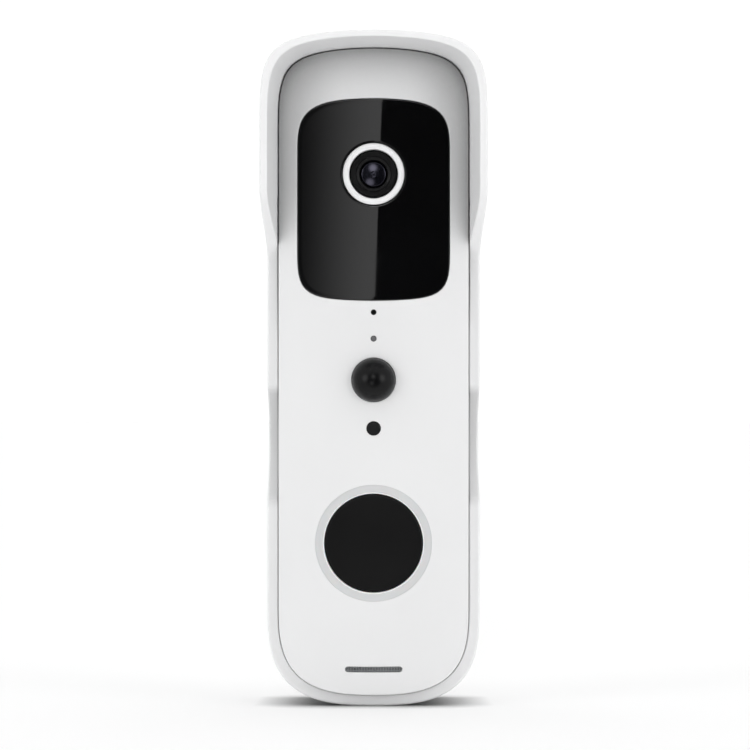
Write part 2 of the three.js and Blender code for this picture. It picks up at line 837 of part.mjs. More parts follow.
const doorbell = new THREE.Group();
const bracket = new THREE.Group();
const unit = new THREE.Group();
const camera = new THREE.Group();
const button = new THREE.Group();
const electronics = new THREE.Group();
const power = new THREE.Group();
const rearPorts = new THREE.Group();
unit.add(camera, button, electronics, power, rearPorts);
doorbell.add(bracket, unit);

function add(group, name, geometry, material) {
  const mesh = new THREE.Mesh(geometry, material);
  mesh.name = name;
  group.add(mesh);
}

// A part on the front of the main board, at [x, z], with its width, height and how far it stands.
function onBoard(at, width, height, stands) {
  const y = [BOARD.front - 0.1 - stands, BOARD.front - 0.1];
  return box([at[0] - width / 2, at[0] + width / 2], y, [at[1] - height / 2, at[1] + height / 2]);
}

add(bracket, "wall_bracket", wallBracket(), WHITE);
add(bracket, "security_screw", lockScrew(), STEEL);

add(unit, "front_housing", frontHousing(), WHITE);
add(unit, "rear_housing", rearHousing(), WHITE);
add(unit, "housing_seal", housingSeal(), GREY_RUBBER);
add(unit, "front_window", frontWindow(), BLACK_GLOSS);
CASE_SCREWS.forEach(([name, x, z]) => {
  add(unit, name, screw(2.1, 1.05, -3.5, -5.1, -24.5, [x, z]), STEEL);
});

add(camera, "camera_ring", cameraRing(), WHITE);
add(camera, "lens_barrel", lensBarrel(), BLACK);
add(camera, "lens_glass", lensGlass(), GLASS);
add(camera, "lens_holder", lensHolder(), BLACK);
add(camera, "image_sensor", box([-3.4, 3.4], [-18.2, -17.2], [CAMERA_Z - 3.4, CAMERA_Z + 3.4]), CHIP);
add(camera, "camera_board", box([-8, 8], [-17.0, -15.8], [33.0, 51.0]), BOARD_GREEN);
const cameraRoute = [[-17.3, 34.2], [-20.5, 34], [-24.2, 32.6], [-25.8, 28.8], [-25.8, 23], [-25.8, 16.2]];
add(camera, "camera_ribbon", ribbon(cameraRoute, [-3.5, 3.5], 0.3), RIBBON);
const infraredBoard = cut(
  solid(plate(roundedRectangle([-12.5, 12.5], [19.4, 55.6], 3), [-27.4, -26.8])),
  solid(box([-7.6, 7.6], [-29, -25], [CAMERA_Z - 7.6, CAMERA_Z + 7.6])),
);
add(camera, "infrared_board", geometryOf(infraredBoard), BOARD_GREEN);
["left", "right"].forEach((side, i) => {
  const x = i ? 9.2 : -9.2;
  const lens = [[0, -29.2], [0.9, -29.1], [1.5, -28.6], [1.6, -28.2], [1.6, -27.5], [0, -27.5]];
  add(camera, "infrared_led_" + side, turned(lens, [x, 25.0], 16), GLASS);
});

add(button, "button_cap", buttonCap(), BLACK);
add(button, "button_light_ring", buttonLightRing(), LIGHT_RING);
const sealRing = [[3.4, -27.75], [13.2, -27.75], [13.2, -27.2], [3.4, -27.2]];
add(button, "button_seal", turned(sealRing, [0, BUTTON_Z]), GREY_RUBBER);
add(button, "button_switch", buttonSwitch(), BLACK);
add(button, "switch_stem", bar(1.7, [-27.9, -26.8], [0, BUTTON_Z], 20), BLACK);

add(
  electronics,
  "main_board",
  plate(roundedRectangle([-BOARD.half, BOARD.half], [BOARD.bottom, BOARD.top], 2), [BOARD.front, BOARD.back]),
  BOARD_GREEN,
);
add(electronics, "main_chip", onBoard([-10.5, -4], 10, 10, 1.2), CHIP);
add(electronics, "wireless_module", onBoard([10.2, -8], 11, 15, 1.9), TIN);
add(electronics, "antenna", box([-10, 10], [FACE_INSIDE + 0.1, FACE_INSIDE + 0.5], [60.2, 66.4]), RIBBON);
add(electronics, "microphone", onBoard([0, MICROPHONE_Z], 3.8, 2.9, 1.1), TIN);
const pipe = [[0, FACE + 0.15], [0.6, FACE + 0.15], [0.6, -28.4], [1.5, -28.4], [1.5, -27.0], [0, -27.0]];
add(electronics, "status_light_pipe", turned(pipe, [0, STATUS_Z], 16), LIGHT_RING);
add(electronics, "status_led", onBoard([0, STATUS_Z], 2.0, 1.2, 0.8), LIGHT_RING);
add(electronics, "motion_dome", motionDome(), BLACK_GLOSS);
const can = [[0, -29.3], [3.0, -29.3], [3.5, -28.9], [3.5, -25.8], [3.9, -25.8], [3.9, -25.3], [0, -25.3]];
add(electronics, "motion_sensor", turned(can, [0, MOTION_Z], 24), TIN);
const sensorWindow = [
  [0, FACE + 0.2], [1.56, FACE + 0.2], [1.56, -28.4], [2.6, -28.4], [2.6, -27.4], [0, -27.4],
];
add(electronics, "light_sensor_window", turned(sensorWindow, [0, LIGHT_SENSOR_Z], 24), BLACK_GLOSS);
add(electronics, "light_sensor", onBoard([0, LIGHT_SENSOR_Z], 2.4, 2.0, 0.8), CHIP);
add(electronics, "speaker", speaker(), BLACK);
add(electronics, "speaker_seal", speakerSeal(), BLACK_RUBBER);
const grille = box([-6.9, 6.9], [FACE_INSIDE - 0.6, FACE_INSIDE - 0.2], [SLOT.z - 1.4, SLOT.z + 1.3]);
add(electronics, "speaker_mesh", grille, STEEL);
const speakerRoute = [[2, -22.0, -55], [2, -20.8, -51.5], [2.5, -21.2, -47.5], [3, -23.0, -44.6]];
add(electronics, "speaker_lead", tube(speakerRoute, 0.6, 12), BLACK_RUBBER);

["left", "right"].forEach((side, i) => {
  const x = i ? CELL.x : -CELL.x;
  add(power, "battery_cell_" + side, cell(x), CELL_WRAP);
  const z = [CELL.top + 0.3, CELL.top + 0.8];
  add(power, "contact_plate_" + side, box([x - 4, x + 4], [CELL.y - 4, CELL.y + 4], z), TIN);
  add(power, "contact_spring_" + side, contactSpring(x), STEEL);
});
add(power, "battery_cover", batteryCover(), WHITE);
add(power, "battery_cover_seal", batteryCoverSeal(), GREY_RUBBER);
["upper", "lower"].forEach((place, i) => {
  const at = [0, COVER_SCREW_Z[i]];
  add(power, "battery_cover_screw_" + place, screw(1.9, 0.95, -2.8, -3.8, -7.2, at), STEEL);
});

const { half: boardHalf, front: boardFront, back: boardBack } = PORT_BOARD;
const portBoard = box([-boardHalf, boardHalf], [boardFront, boardBack], [PORT_BOARD.bottom, PORT_BOARD.top]);
add(rearPorts, "port_board", portBoard, BOARD_GREEN);
const portRoute = [[-9.8, -47.4], [-13, -47.2], [-18, -45.6], [-23.8, -45.4]];
add(rearPorts, "port_ribbon", ribbon(portRoute, [-9.5, -3.5], 0.3), RIBBON);
add(rearPorts, "usb_port", usbPort(), STEEL);
add(rearPorts, "port_flap", portFlap(), BLACK_RUBBER);
const resetSwitch = box([RESET_X - 1.8, RESET_X + 1.8], [-8.3, -6.1], [PORT_Z - 1.8, PORT_Z + 1.8]);
add(rearPorts, "reset_switch", resetSwitch, BLACK);
add(rearPorts, "reset_button", resetButton(), GREY_RUBBER);
["left", "right"].forEach((side, i) => {
  const x = i ? TERMINAL.x : -TERMINAL.x;
  add(rearPorts, "terminal_plate_" + side, terminalPlate(x), BRASS);
  add(rearPorts, "terminal_screw_" + side, screw(2.5, 1.3, -4.4, -7.0, -8.1, [x, TERMINAL.z]), TIN);
});

export default doorbell;
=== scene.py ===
"""The look of a battery video doorbell in its wall bracket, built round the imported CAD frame.

Lengths below are millimetres until a mesh is made. X is to the right, +Y goes into the wall and
+Z is up. Outlines are closed loops in X and Z, and each piece is swept along a profile of
(offset, y) points, where the offset moves its outline outwards.
"""

import math

import bmesh
import bpy
import numpy as np
from mathutils import Matrix, Vector


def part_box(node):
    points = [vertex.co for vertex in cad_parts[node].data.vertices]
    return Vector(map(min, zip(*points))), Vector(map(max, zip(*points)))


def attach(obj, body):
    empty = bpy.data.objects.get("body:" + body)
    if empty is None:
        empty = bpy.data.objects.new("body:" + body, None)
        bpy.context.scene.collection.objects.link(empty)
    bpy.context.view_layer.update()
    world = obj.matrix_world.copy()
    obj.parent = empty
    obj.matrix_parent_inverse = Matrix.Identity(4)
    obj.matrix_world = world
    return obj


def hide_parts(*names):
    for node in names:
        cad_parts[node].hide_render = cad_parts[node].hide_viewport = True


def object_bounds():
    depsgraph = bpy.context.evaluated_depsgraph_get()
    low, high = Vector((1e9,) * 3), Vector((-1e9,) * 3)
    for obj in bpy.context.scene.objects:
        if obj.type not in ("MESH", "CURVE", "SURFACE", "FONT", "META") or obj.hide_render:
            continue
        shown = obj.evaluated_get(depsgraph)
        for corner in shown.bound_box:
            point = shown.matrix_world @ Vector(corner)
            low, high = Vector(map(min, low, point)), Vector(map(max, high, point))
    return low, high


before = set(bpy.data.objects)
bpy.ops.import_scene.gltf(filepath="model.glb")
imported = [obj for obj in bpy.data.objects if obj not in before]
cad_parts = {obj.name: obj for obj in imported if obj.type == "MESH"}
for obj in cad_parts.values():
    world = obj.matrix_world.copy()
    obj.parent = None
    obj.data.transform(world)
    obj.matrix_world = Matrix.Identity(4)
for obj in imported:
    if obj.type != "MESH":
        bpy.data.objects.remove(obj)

CAD_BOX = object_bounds()
MM = 0.001


def limits(node, axis):
    """Lowest and highest place of a CAD node on one axis, in millimetres."""
    low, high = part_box(node)
    return low[axis] / MM, high[axis] / MM


# ---------------------------------------------------------------- sizes from the frame

X, Y, Z = 0, 1, 2
BRACKET_FRONT = limits("wall_bracket", Y)[0]
FACE = limits("front_housing", Y)[0]
FACE_INSIDE = FACE + 2.4
FRONT_EDGE, REAR_EDGE = -18.6, -17.2  # where the walls of the two housings end
REAR = limits("rear_housing", Y)[1]
HALF = limits("front_housing", X)[1]
BOTTOM, TOP = limits("front_housing", Z)
PLATE = -2.2  # the front of the bracket's back plate
BAND = -28.5  # the sleeve's front edge below the hood
WALL = 1.5
GAP = 0.3  # between the doorbell and its sleeve

# Each end of an outline: its depth, its crown and the power of its corners.
TOP_END = (26.2, 3.0, 6.5)
BOTTOM_END = (20.3, 1.9, 3.45)
# The sleeve's faces as (side, end) offsets from the doorbell's outline, and how they flare.
OUTSIDE_BACK, OUTSIDE_FLARE = (1.8, 2.33), (2.15, 0.72)
INSIDE_FLARE, INSIDE_FLARE_START = (1.95, 1.35), FACE + 0.4
# The heights between which the hood runs out into the band, and the finger scallop.
HOOD_LOW, BAND_HIGH = 38.6, 23.2
SCALLOP_MIDDLE, SCALLOP_HALF, SCALLOP_DEPTH = -15.5, 11.8, 5.5

WINDOW_HALF = limits("front_window", X)[1]
WINDOW_BOTTOM, WINDOW_TOP = limits("front_window", Z)
WINDOW_TOP_END, WINDOW_BOTTOM_END = (14.5, 1.7, 4.8), (15.8, 1.1, 6.1)
WINDOW_FRONT, WINDOW_BACK = limits("front_window", Y)


def middle(node):
    """The middle of a CAD node seen from the front, in millimetres."""
    return sum(limits(node, X)) / 2, sum(limits(node, Z)) / 2


CAMERA = middle("lens_barrel")
BUTTON = middle("button_cap")
MOTION = middle("motion_dome")
LIGHT_SENSOR = middle("light_sensor_window")
MICROPHONE = middle("microphone")
STATUS = middle("status_light_pipe")
SLOT_Z, SLOT_LENGTH, SLOT_WIDTH, SLOT_BOW = -64.1, 12.3, 1.24, 300.0
LOCK_Y = sum(limits("security_screw", Y)) / 2

UNIT = "doorbell_unit"

# ---------------------------------------------------------------- outlines


def crowned_end(half, depth, crown, power, steps):
    """Points of half an end, from its middle to its side: (x, how far it has fallen)."""
    w = np.arange(steps) / steps
    to_side, to_middle = w ** (power / 2), (1 - w) ** (power / 2)
    angle = math.pi / 2 * to_side / (to_side + to_middle)
    t = np.sin(angle) ** (2 / power)
    fall = 1 - np.cos(angle) ** (2 / power)
    return half * t, crown * t * t + (depth - crown) * fall


class Outline:
    """A body with two crowned ends and straight sides, as a closed loop of points in X and Z."""

    def __init__(self, half, top, bottom, top_end, bottom_end, steps, side_steps):
        self.half, self.top, self.bottom = half, top, bottom
        self.top_end, self.bottom_end = top_end, bottom_end
        self.steps, self.side_steps = steps, side_steps

    def loop(self, side, end=None):
        """The outline moved outwards by side at its sides and by end at its ends, each of which is one
        number or one for each point."""
        end = side if end is None else end
        count = 4 * self.steps + 2 * self.side_steps - 2
        side, end = np.broadcast_to(side, count), np.broadcast_to(end, count)
        low_share, low_fall = self.unit_end(self.bottom_end)
        high_share, high_fall = self.unit_end(self.top_end)
        low_z, high_z = self.bottom + self.bottom_end[0], self.top - self.top_end[0]
        straight = low_z + (high_z - low_z) * (np.arange(self.side_steps) + 0.5) / self.side_steps

        # Up the right side, from the bottom's middle to the top's, and then back down the left.
        none, level = np.zeros(self.steps), np.zeros(self.side_steps)
        share = np.concatenate([low_share, level + 1, high_share[::-1]])
        kind = np.concatenate([none - 1, level, none + 1])
        fall = np.concatenate([low_fall, level, high_fall[::-1]])
        base = np.concatenate([none, straight, none])
        back = slice(-2, 0, -1)
        share = np.concatenate([share, -share[back]])
        kind, fall, base = (np.concatenate([a, a[back]]) for a in (kind, fall, base))

        x = share * (self.half + side)
        depth_low = self.bottom_end[0] + end - self.bottom_end[1]
        depth_high = self.top_end[0] + end - self.top_end[1]
        z_low = self.bottom - end + self.bottom_end[1] * share**2 + depth_low * fall
        z_high = self.top + end - self.top_end[1] * share**2 - depth_high * fall
        z = np.where(kind < 0, z_low, np.where(kind > 0, z_high, base))
        return np.stack([x, z], 1)

    def unit_end(self, end):
        """Half an end from its middle: the share of the half width, and the fall past its crown."""
        depth, crown, power = end
        share, fall = crowned_end(1.0, depth, crown, power, self.steps)
        return share, (fall - crown * share**2) / (depth - crown)


BODY = Outline(HALF, TOP, BOTTOM, TOP_END, BOTTOM_END, 44, 180)
BODY_SIMPLE = Outline(HALF, TOP, BOTTOM, TOP_END, BOTTOM_END, 44, 12)
PANE = Outline(WINDOW_HALF, WINDOW_TOP, WINDOW_BOTTOM, WINDOW_TOP_END, WINDOW_BOTTOM_END, 28, 6)


def circle(centre, segments=64):
    angle = np.arange(segments) * 2 * math.pi / segments
    ring = np.stack([np.cos(angle), np.sin(angle)], 1)
    return lambda radius: np.array(centre) + radius * ring


def rectangle(x, z, radius, corner_steps=6):
    """A rectangle with round corners, given as (low, high) on each axis."""
    corners = [(x[1], z[1], 0), (x[0], z[1], 1), (x[0], z[0], 2), (x[1], z[0], 3)]

    def loop(offset):
        points = []
        for cx, cz, quarter in corners:
            inwards = np.array([-1 if cx == x[1] else 1, -1 if cz == z[1] else 1]) * radius
            for step in range(corner_steps + 1):
                angle = (quarter + step / corner_steps) * math.pi / 2
                way = np.array([math.cos(angle), math.sin(angle)])
                points.append(np.array([cx, cz]) + inwards + way * (radius + offset))
        return np.array(points)

    return loop


def capsule(centre, length, width, bow=None, steps=16):
    """A slot with round ends. With a bow, its middle hangs down as an arc of that radius."""

    def loop(offset):
        radius, reach = width / 2 + offset, (length - width) / 2
        points = []
        for end in (1, -1):
            for step in range(steps + 1):
                angle = (step / steps - 0.5) * math.pi + (0 if end > 0 else math.pi)
                points.append([end * reach + radius * math.cos(angle), radius * math.sin(angle)])
            run = np.linspace(reach, -reach, 14)[1:-1] * end
            points += [[x, radius * end] for x in run]
        points = np.array(points)
        if bow:
            points[:, 1] += bow - np.sqrt(bow**2 - points[:, 0] ** 2)
        return points + np.array(centre)

    return loop


def soften(profile, radius, steps=4, closed=False):
    """A profile with each corner rounded. A radius may be one number or one for each point."""
    count = len(profile)
    points = [np.array(p, float) for p in profile]
    radii = [radius] * count if np.isscalar(radius) else radius
    out = []
    for i, corner in enumerate(points):
        if not closed and i in (0, count - 1):
            out.append(corner)
            continue
        before, after = points[i - 1] - corner, points[(i + 1) % count] - corner
        reach = min(radii[i], 0.45 * np.linalg.norm(before), 0.45 * np.linalg.norm(after))
        if reach < 1e-4:
            out.append(corner)
            continue
        start = corner + before / np.linalg.norm(before) * reach
        end = corner + after / np.linalg.norm(after) * reach
        for step in range(steps + 1):
            t = step / steps
            out.append((1 - t) ** 2 * start + 2 * t * (1 - t) * corner + t * t * end)
    return out


# ---------------------------------------------------------------- meshes


class Shell:
    """A closed mesh made of rings of points, joined by strips and flat faces."""

    def __init__(self):
        self.bm = bmesh.new()

    def ring(self, loop, y):
        """A ring of vertices from points in X and Z, at one depth or one depth for each."""
        depth = np.broadcast_to(y, len(loop))
        return [self.bm.verts.new((x * MM, d * MM, z * MM)) for (x, z), d in zip(loop, depth)]

    def point(self, x, y, z):
        return [self.bm.verts.new((x * MM, y * MM, z * MM))]

    def strip(self, a, b):
        """Joins two rings, or a ring and a single point."""
        if len(a) == 1 or len(b) == 1:
            tip, ring = (a, b) if len(a) == 1 else (b, a)
            for i, v in enumerate(ring):
                self.bm.faces.new((tip[0], v, ring[(i + 1) % len(ring)]))
            return
        for i in range(len(a)):
            j = (i + 1) % len(a)
            self.bm.faces.new((a[i], a[j], b[j], b[i]))

    def join(self, rings, closed=False):
        """Joins each ring to the next, and if closed the last to the first."""
        for a, b in zip(rings, rings[1:] + rings[:1] if closed else rings[1:]):
            self.strip(a, b)

    def sweep(self, outline, profile, closed=False):
        """Rings of one outline along a profile of (offset, y). Returns the first and the last."""
        rings = [self.ring(outline(offset), y) for offset, y in profile]
        self.join(rings, closed)
        return rings[0], rings[-1]

    def turn(self, centre, profile, segments=64, closed=False):
        """A turned shape about an axis along Y, from a profile of (radius, y)."""
        outline = circle(centre, segments)
        rings = []
        for radius, y in profile:
            tip = radius < 1e-5
            rings.append(self.point(centre[0], y, centre[1]) if tip else self.ring(outline(radius), y))
        self.join(rings, closed)

    def fill(self, *rings):
        """A flat face inside the first ring and outside the others."""
        edges = []
        for ring in rings:
            for i, v in enumerate(ring):
                pair = (v, ring[(i + 1) % len(ring)])
                edges.append(self.bm.edges.get(pair) or self.bm.edges.new(pair))
        bmesh.ops.triangle_fill(self.bm, use_beauty=False, use_dissolve=False, edges=edges)

    def piece(self, name):
        bmesh.ops.recalc_face_normals(self.bm, faces=self.bm.faces)
        return object_from(self.bm, name)


def object_from(bm, name):
    mesh = bpy.data.meshes.new(name)
    bm.to_mesh(mesh)
    bm.free()
    obj = bpy.data.objects.new(name, mesh)
    bpy.context.scene.collection.objects.link(obj)
    return obj


def apply_modifiers(obj):
    graph = bpy.context.evaluated_depsgraph_get()
    mesh = bpy.data.meshes.new_from_object(obj.evaluated_get(graph))
    old = obj.data
    obj.modifiers.clear()
    obj.data = mesh
    bpy.data.meshes.remove(old)


def combine(obj, tools, operation):
    """Cuts or joins other meshes with obj, and removes them."""
    for tool in tools:
        step = obj.modifiers.new(operation, "BOOLEAN")
        step.operation, step.object, step.solver = operation, tool, "MANIFOLD"
    bpy.context.view_layer.update()
    apply_modifiers(obj)
    for tool in tools:
        bpy.data.objects.remove(tool)
    return obj


def smooth(obj, angle=40.0, bevel=0.0):
    """Rounds sharp edges if asked, and shades smooth with flat faces kept flat."""
    if bevel:
        step = obj.modifiers.new("round", "BEVEL")
        step.width, step.segments, step.limit_method = bevel * MM, 2, "ANGLE"
        step.angle_limit = math.radians(angle)
        step.use_clamp_overlap = True
        bpy.context.view_layer.update()
        apply_modifiers(obj)
    for face in obj.data.polygons:
        face.use_smooth = True
    obj.data.set_sharp_from_angle(angle=math.radians(angle))
    step = obj.modifiers.new("normals", "WEIGHTED_NORMAL")
    step.mode, step.weight, step.keep_sharp = "FACE_AREA", 60, True
    bpy.context.view_layer.update()
    apply_modifiers(obj)
    return obj


def block(x, y, z):
    """A plain box for cutting and joining, given as (low, high) on each axis."""
    bm = bmesh.new()
    bmesh.ops.create_cube(bm, size=1.0)
    size = Vector((x[1] - x[0], y[1] - y[0], z[1] - z[0])) * MM
    centre = Vector((x[0] + x[1], y[0] + y[1], z[0] + z[1])) * (MM / 2)
    bm.transform(Matrix.Translation(centre) @ Matrix.Diagonal((*size, 1.0)))
    return object_from(bm, "tool")


def swept(outline, profile, name="tool"):
    """A solid of one outline along a profile of (offset, y), with flat ends."""
    shell = Shell()
    first, last = shell.sweep(outline, profile)
    shell.fill(first)
    shell.fill(last)
    return shell.piece(name)


def prism(outline, offset, y):
    """A solid of one outline between two depths, for cutting and joining."""
    return swept(outline, [(offset, y[0]), (offset, y[1])])


def rod(centre, radius, y, segments=40):
    """A plain bar along Y for cutting and joining, round or with a few sides."""
    return prism(circle(centre, segments), radius, y)


def upright(obj):
    """Turns a shape about the Y axis to stand on the lock screw's axis, with its Y as height."""
    turn = Matrix.Translation((0, LOCK_Y * MM, 0)) @ Matrix.Rotation(math.pi / 2, 4, "X")
    obj.data.transform(turn)
    return obj


# ---------------------------------------------------------------- materials

DARKEST = 0.18  # what the painted crevice shade leaves of a colour at the most


class Surface:
    """A node material: a Principled shader with its textures in object space."""

    def __init__(self, name):
        self.material = bpy.data.materials.new(name)
        self.material.use_nodes = True
        self.nodes, self.links = self.material.node_tree.nodes, self.material.node_tree.links
        self.shader = self.nodes["Principled BSDF"]
        coordinates = self.node("TexCoord").outputs
        self.place, self.normal = coordinates["Object"], coordinates["Normal"]

    def node(self, kind, inputs=None, **properties):
        """A new node. Each input is a value, or another node's output to link."""
        node = self.nodes.new("ShaderNode" + kind)
        for name, value in properties.items():
            setattr(node, name, value)
        for key, value in (inputs or {}).items():
            if isinstance(value, bpy.types.NodeSocket):
                self.links.new(value, node.inputs[key])
            else:
                node.inputs[key].default_value = value
        return node

    def set(self, **values):
        for key, value in values.items():
            self.shader.inputs[key.replace("_", " ")].default_value = value
        return self

    def noise(self, size, detail=3.0, stretch=(1, 1, 1)):
        """Noise whose features are about size millimetres across."""
        mapping = self.node("Mapping", {"Vector": self.place, "Scale": stretch})
        inputs = {"Vector": mapping.outputs["Vector"], "Scale": 1.0 / (size * MM), "Detail": detail}
        return self.node("TexNoise", inputs).outputs["Fac"]

    def ramp(self, value, start, end, low=0.0, high=1.0, shape="LINEAR"):
        """A number in start to end mapped to low to high."""
        inputs = {"Value": value, "From Min": start, "From Max": end, "To Min": low, "To Max": high}
        return self.node("MapRange", inputs, interpolation_type=shape).outputs["Result"]

    def between(self, noise, low, high):
        """Noise, which is mostly in 0.3 to 0.7, mapped to low to high."""
        return self.ramp(noise, 0.3, 0.7, low, high)

    def mix(self, factor, first, second, blend="MIX"):
        """Mixes two colours into the base colour."""
        inputs = {"Factor": factor, "A": first, "B": second}
        mixed = self.node("Mix", inputs, data_type="RGBA", blend_type=blend).outputs["Result"]
        self.links.new(mixed, self.shader.inputs["Base Color"])
        return self

    def base(self):
        """What the base colour is made of so far."""
        return self.shader.inputs["Base Color"].links[0].from_socket

    def colours(self, value, first, second):
        return self.mix(value, (*first, 1), (*second, 1))

    def painted_crevice_shade(self, reach, strength, heights=None, lean=0.0):
        """Painted shade: darkens the colour where other surfaces stand within reach millimetres, as
        ambient occlusion shades it. Those above count less with a lean, and more with a negative one.
        With heights it fades in between the first two, and with four it fades out between the others."""
        leaning = self.node("VectorMath", {0: self.normal, 1: (0, 0, -lean)}).outputs["Vector"]
        way = self.node("VectorMath", {0: leaning}, operation="NORMALIZE").outputs["Vector"]
        open_sky = self.node("AmbientOcclusion", {"Distance": reach * MM, "Normal": way}, samples=16)
        start = 1.0 - (1.0 - DARKEST) / strength
        shade = self.ramp(open_sky.outputs["AO"], start, 1.0, low=DARKEST)
        factor = 1.0
        if heights:
            height = self.node("SeparateXYZ", {0: self.place}).outputs["Z"]
            low, high, *upper = (h * MM for h in heights)
            factor = self.ramp(height, low, high, shape="SMOOTHSTEP")
            if upper:
                ending = self.ramp(height, upper[1], upper[0])
                factor = self.node("Math", {0: factor, 1: ending}, operation="MULTIPLY").outputs[0]
        return self.mix(factor, self.base(), shade, "MULTIPLY")

    def painted_highlight_rim(self, centre, radius, colour):
        """A painted highlight: another colour inside a radius about an axis along Y."""
        axis = (-centre[0] * MM, 0, -centre[1] * MM)
        offset = self.node("VectorMath", {0: self.place, 1: axis}).outputs["Vector"]
        flat = self.node("VectorMath", {0: offset, 1: (1, 0, 1)}, operation="MULTIPLY").outputs["Vector"]
        length = self.node("VectorMath", {0: flat}, operation="LENGTH").outputs["Value"]
        inside = self.node("Math", {0: length, 1: radius * MM}, operation="LESS_THAN").outputs[0]
        return self.mix(inside, self.base(), (*colour, 1))

    def rough(self, value, low, high):
        self.links.new(self.between(value, low, high), self.shader.inputs["Roughness"])
        return self

    def bump(self, value, height):
        """Relief whose full height is that many millimetres."""
        bump = self.node("Bump", {"Height": value, "Distance": height * MM, "Strength": 1.0})
        self.links.new(bump.outputs["Normal"], self.shader.inputs["Normal"])
        return self


def moulded(name, colour, rough, grain, relief, tint=0.02):
    """A moulded plastic or rubber: a spark-eroded grain, slight clouding and uneven gloss."""
    surface = Surface(name)
    cloud = surface.noise(14.0, 2.0)
    fine = surface.noise(grain, 4.0)
    darker = tuple(c * (1 - tint) for c in colour)
    surface.colours(surface.between(cloud, 0.0, 1.0), darker, colour)
    surface.rough(cloud, rough[0], rough[1])
    return surface.bump(fine, relief)


def case_white(name, colour):
    """The case's matt white plastic."""
    return moulded(name, colour, (0.42, 0.5), 0.16, 0.0012, 0.012)


FACE_WHITE = case_white("front_white", (0.8, 0.802, 0.806))
# Painted shade: the face is darkened near the hood's walls and the sleeve's edge, fading in from 4 to 20 mm
# above the middle, and less under the hood's top.
FACE_WHITE.painted_crevice_shade(13.0, 1.3, heights=(4.0, 20.0), lean=0.3)
FACE_WHITE.painted_crevice_shade(3.0, 0.55, heights=(4.0, 20.0))
WHITE = case_white("white_plastic", (0.85, 0.852, 0.856))
BRACKET_WHITE = case_white("bracket_white", (0.85, 0.852, 0.856))
# Painted shade: the sleeve is darkened next to the doorbell in the finger scallops, more towards their tops,
# between 30 and 3 mm below the middle.
BRACKET_WHITE.painted_crevice_shade(8.0, 0.55, heights=(-30.0, -26.5, -5.0, -3.0), lean=-0.9)
WHITE_GLOSS = moulded("white_gloss", (0.88, 0.88, 0.885), (0.2, 0.26), 0.5, 0.0004, 0.01)
PANE_BLACK = moulded("window_black", (0.0022, 0.0022, 0.0025), (0.0, 0.012), 6.0, 0.0001, 0.2)
DOME_BLACK = moulded("dome_black", (0.004, 0.004, 0.0044), (0.24, 0.3), 3.0, 0.0006, 0.2)
DOME_BLACK.set(Specular_IOR_Level=0.17)
SENSOR_BLACK = moulded("sensor_black", (0.017, 0.017, 0.0175), (0.12, 0.18), 3.0, 0.0006, 0.1)
SENSOR_BLACK.set(Specular_IOR_Level=0.11)
BLACK = moulded("black_plastic", (0.0062, 0.0062, 0.0064), (0.36, 0.44), 0.14, 0.0016, 0.1)
BLACK.set(Specular_IOR_Level=0.12)
BARREL_BLACK = moulded("barrel_black", (0.004, 0.004, 0.0042), (0.3, 0.4), 0.12, 0.001, 0.1)
BARREL_BLACK.set(Specular_IOR_Level=0.16)
RUBBER_BLACK = moulded("black_rubber", (0.018, 0.018, 0.019), (0.72, 0.85), 0.12, 0.004, 0.15)
RUBBER_GREY = moulded("grey_rubber", (0.3, 0.305, 0.31), (0.65, 0.8), 0.14, 0.003, 0.06)
FROSTED = moulded("light_ring", (0.64, 0.645, 0.65), (0.34, 0.42), 0.2, 0.0008, 0.02)
FROSTED.set(Subsurface_Weight=0.15, Subsurface_Scale=0.0008)
# Painted highlight: a near-white line round the light ring's inner edge, where its chamfer would catch the
# light.
FROSTED.painted_highlight_rim(BUTTON, 10.86, (0.93, 0.93, 0.935))
PIPE = moulded("light_pipe", (0.13, 0.13, 0.135), (0.2, 0.3), 0.3, 0.0006, 0.05)
CELL_WRAP = moulded("cell_sleeve", (0.03, 0.16, 0.42), (0.25, 0.34), 1.6, 0.004, 0.08)
CHIP_BLACK = moulded("chip_black", (0.02, 0.02, 0.021), (0.5, 0.62), 0.08, 0.003, 0.15)
RIBBON_FILM = moulded("ribbon_film", (0.42, 0.17, 0.04), (0.28, 0.4), 0.8, 0.002, 0.1)


def lens_coating():
    """Dark coated glass with a lilac reflection."""
    surface = Surface("lens_glass").set(Roughness=0.17, IOR=1.55, Specular_Tint=(0.76, 0.74, 1.0, 1.0))
    surface.set(Coat_Weight=0.1, Coat_Roughness=0.1)
    haze = surface.noise(0.9, 1.0)
    surface.colours(surface.between(haze, 0.0, 1.0), (0.0015, 0.002, 0.003), (0.003, 0.003, 0.005))
    return surface


def metal(name, colour, rough):
    """Metal brushed across its height."""
    surface = Surface(name).set(Metallic=1.0)
    brushed = surface.noise(1.2, 4.0, stretch=(1, 1, 14))
    darker = tuple(c * 0.88 for c in colour)
    surface.colours(surface.between(brushed, 0.0, 1.0), darker, colour)
    surface.rough(brushed, rough[0], rough[1])
    return surface.bump(brushed, 0.002)


def circuit_board():
    """Solder mask with copper tracks showing faintly under it."""
    surface = Surface("circuit_board")
    tracks = surface.noise(1.1, 1.0, (1, 0.2, 1))
    surface.colours(surface.between(tracks, 0.0, 1.0), (0.006, 0.05, 0.022), (0.012, 0.11, 0.05))
    surface.rough(tracks, 0.3, 0.42)
    return surface.bump(tracks, 0.01)


LENS = lens_coating()
STEEL = metal("steel", (0.55, 0.56, 0.58), (0.25, 0.38))
TIN = metal("tinned", (0.62, 0.61, 0.58), (0.3, 0.42))
BRASS = metal("brass", (0.6, 0.44, 0.19), (0.25, 0.36))
BOARD = circuit_board()


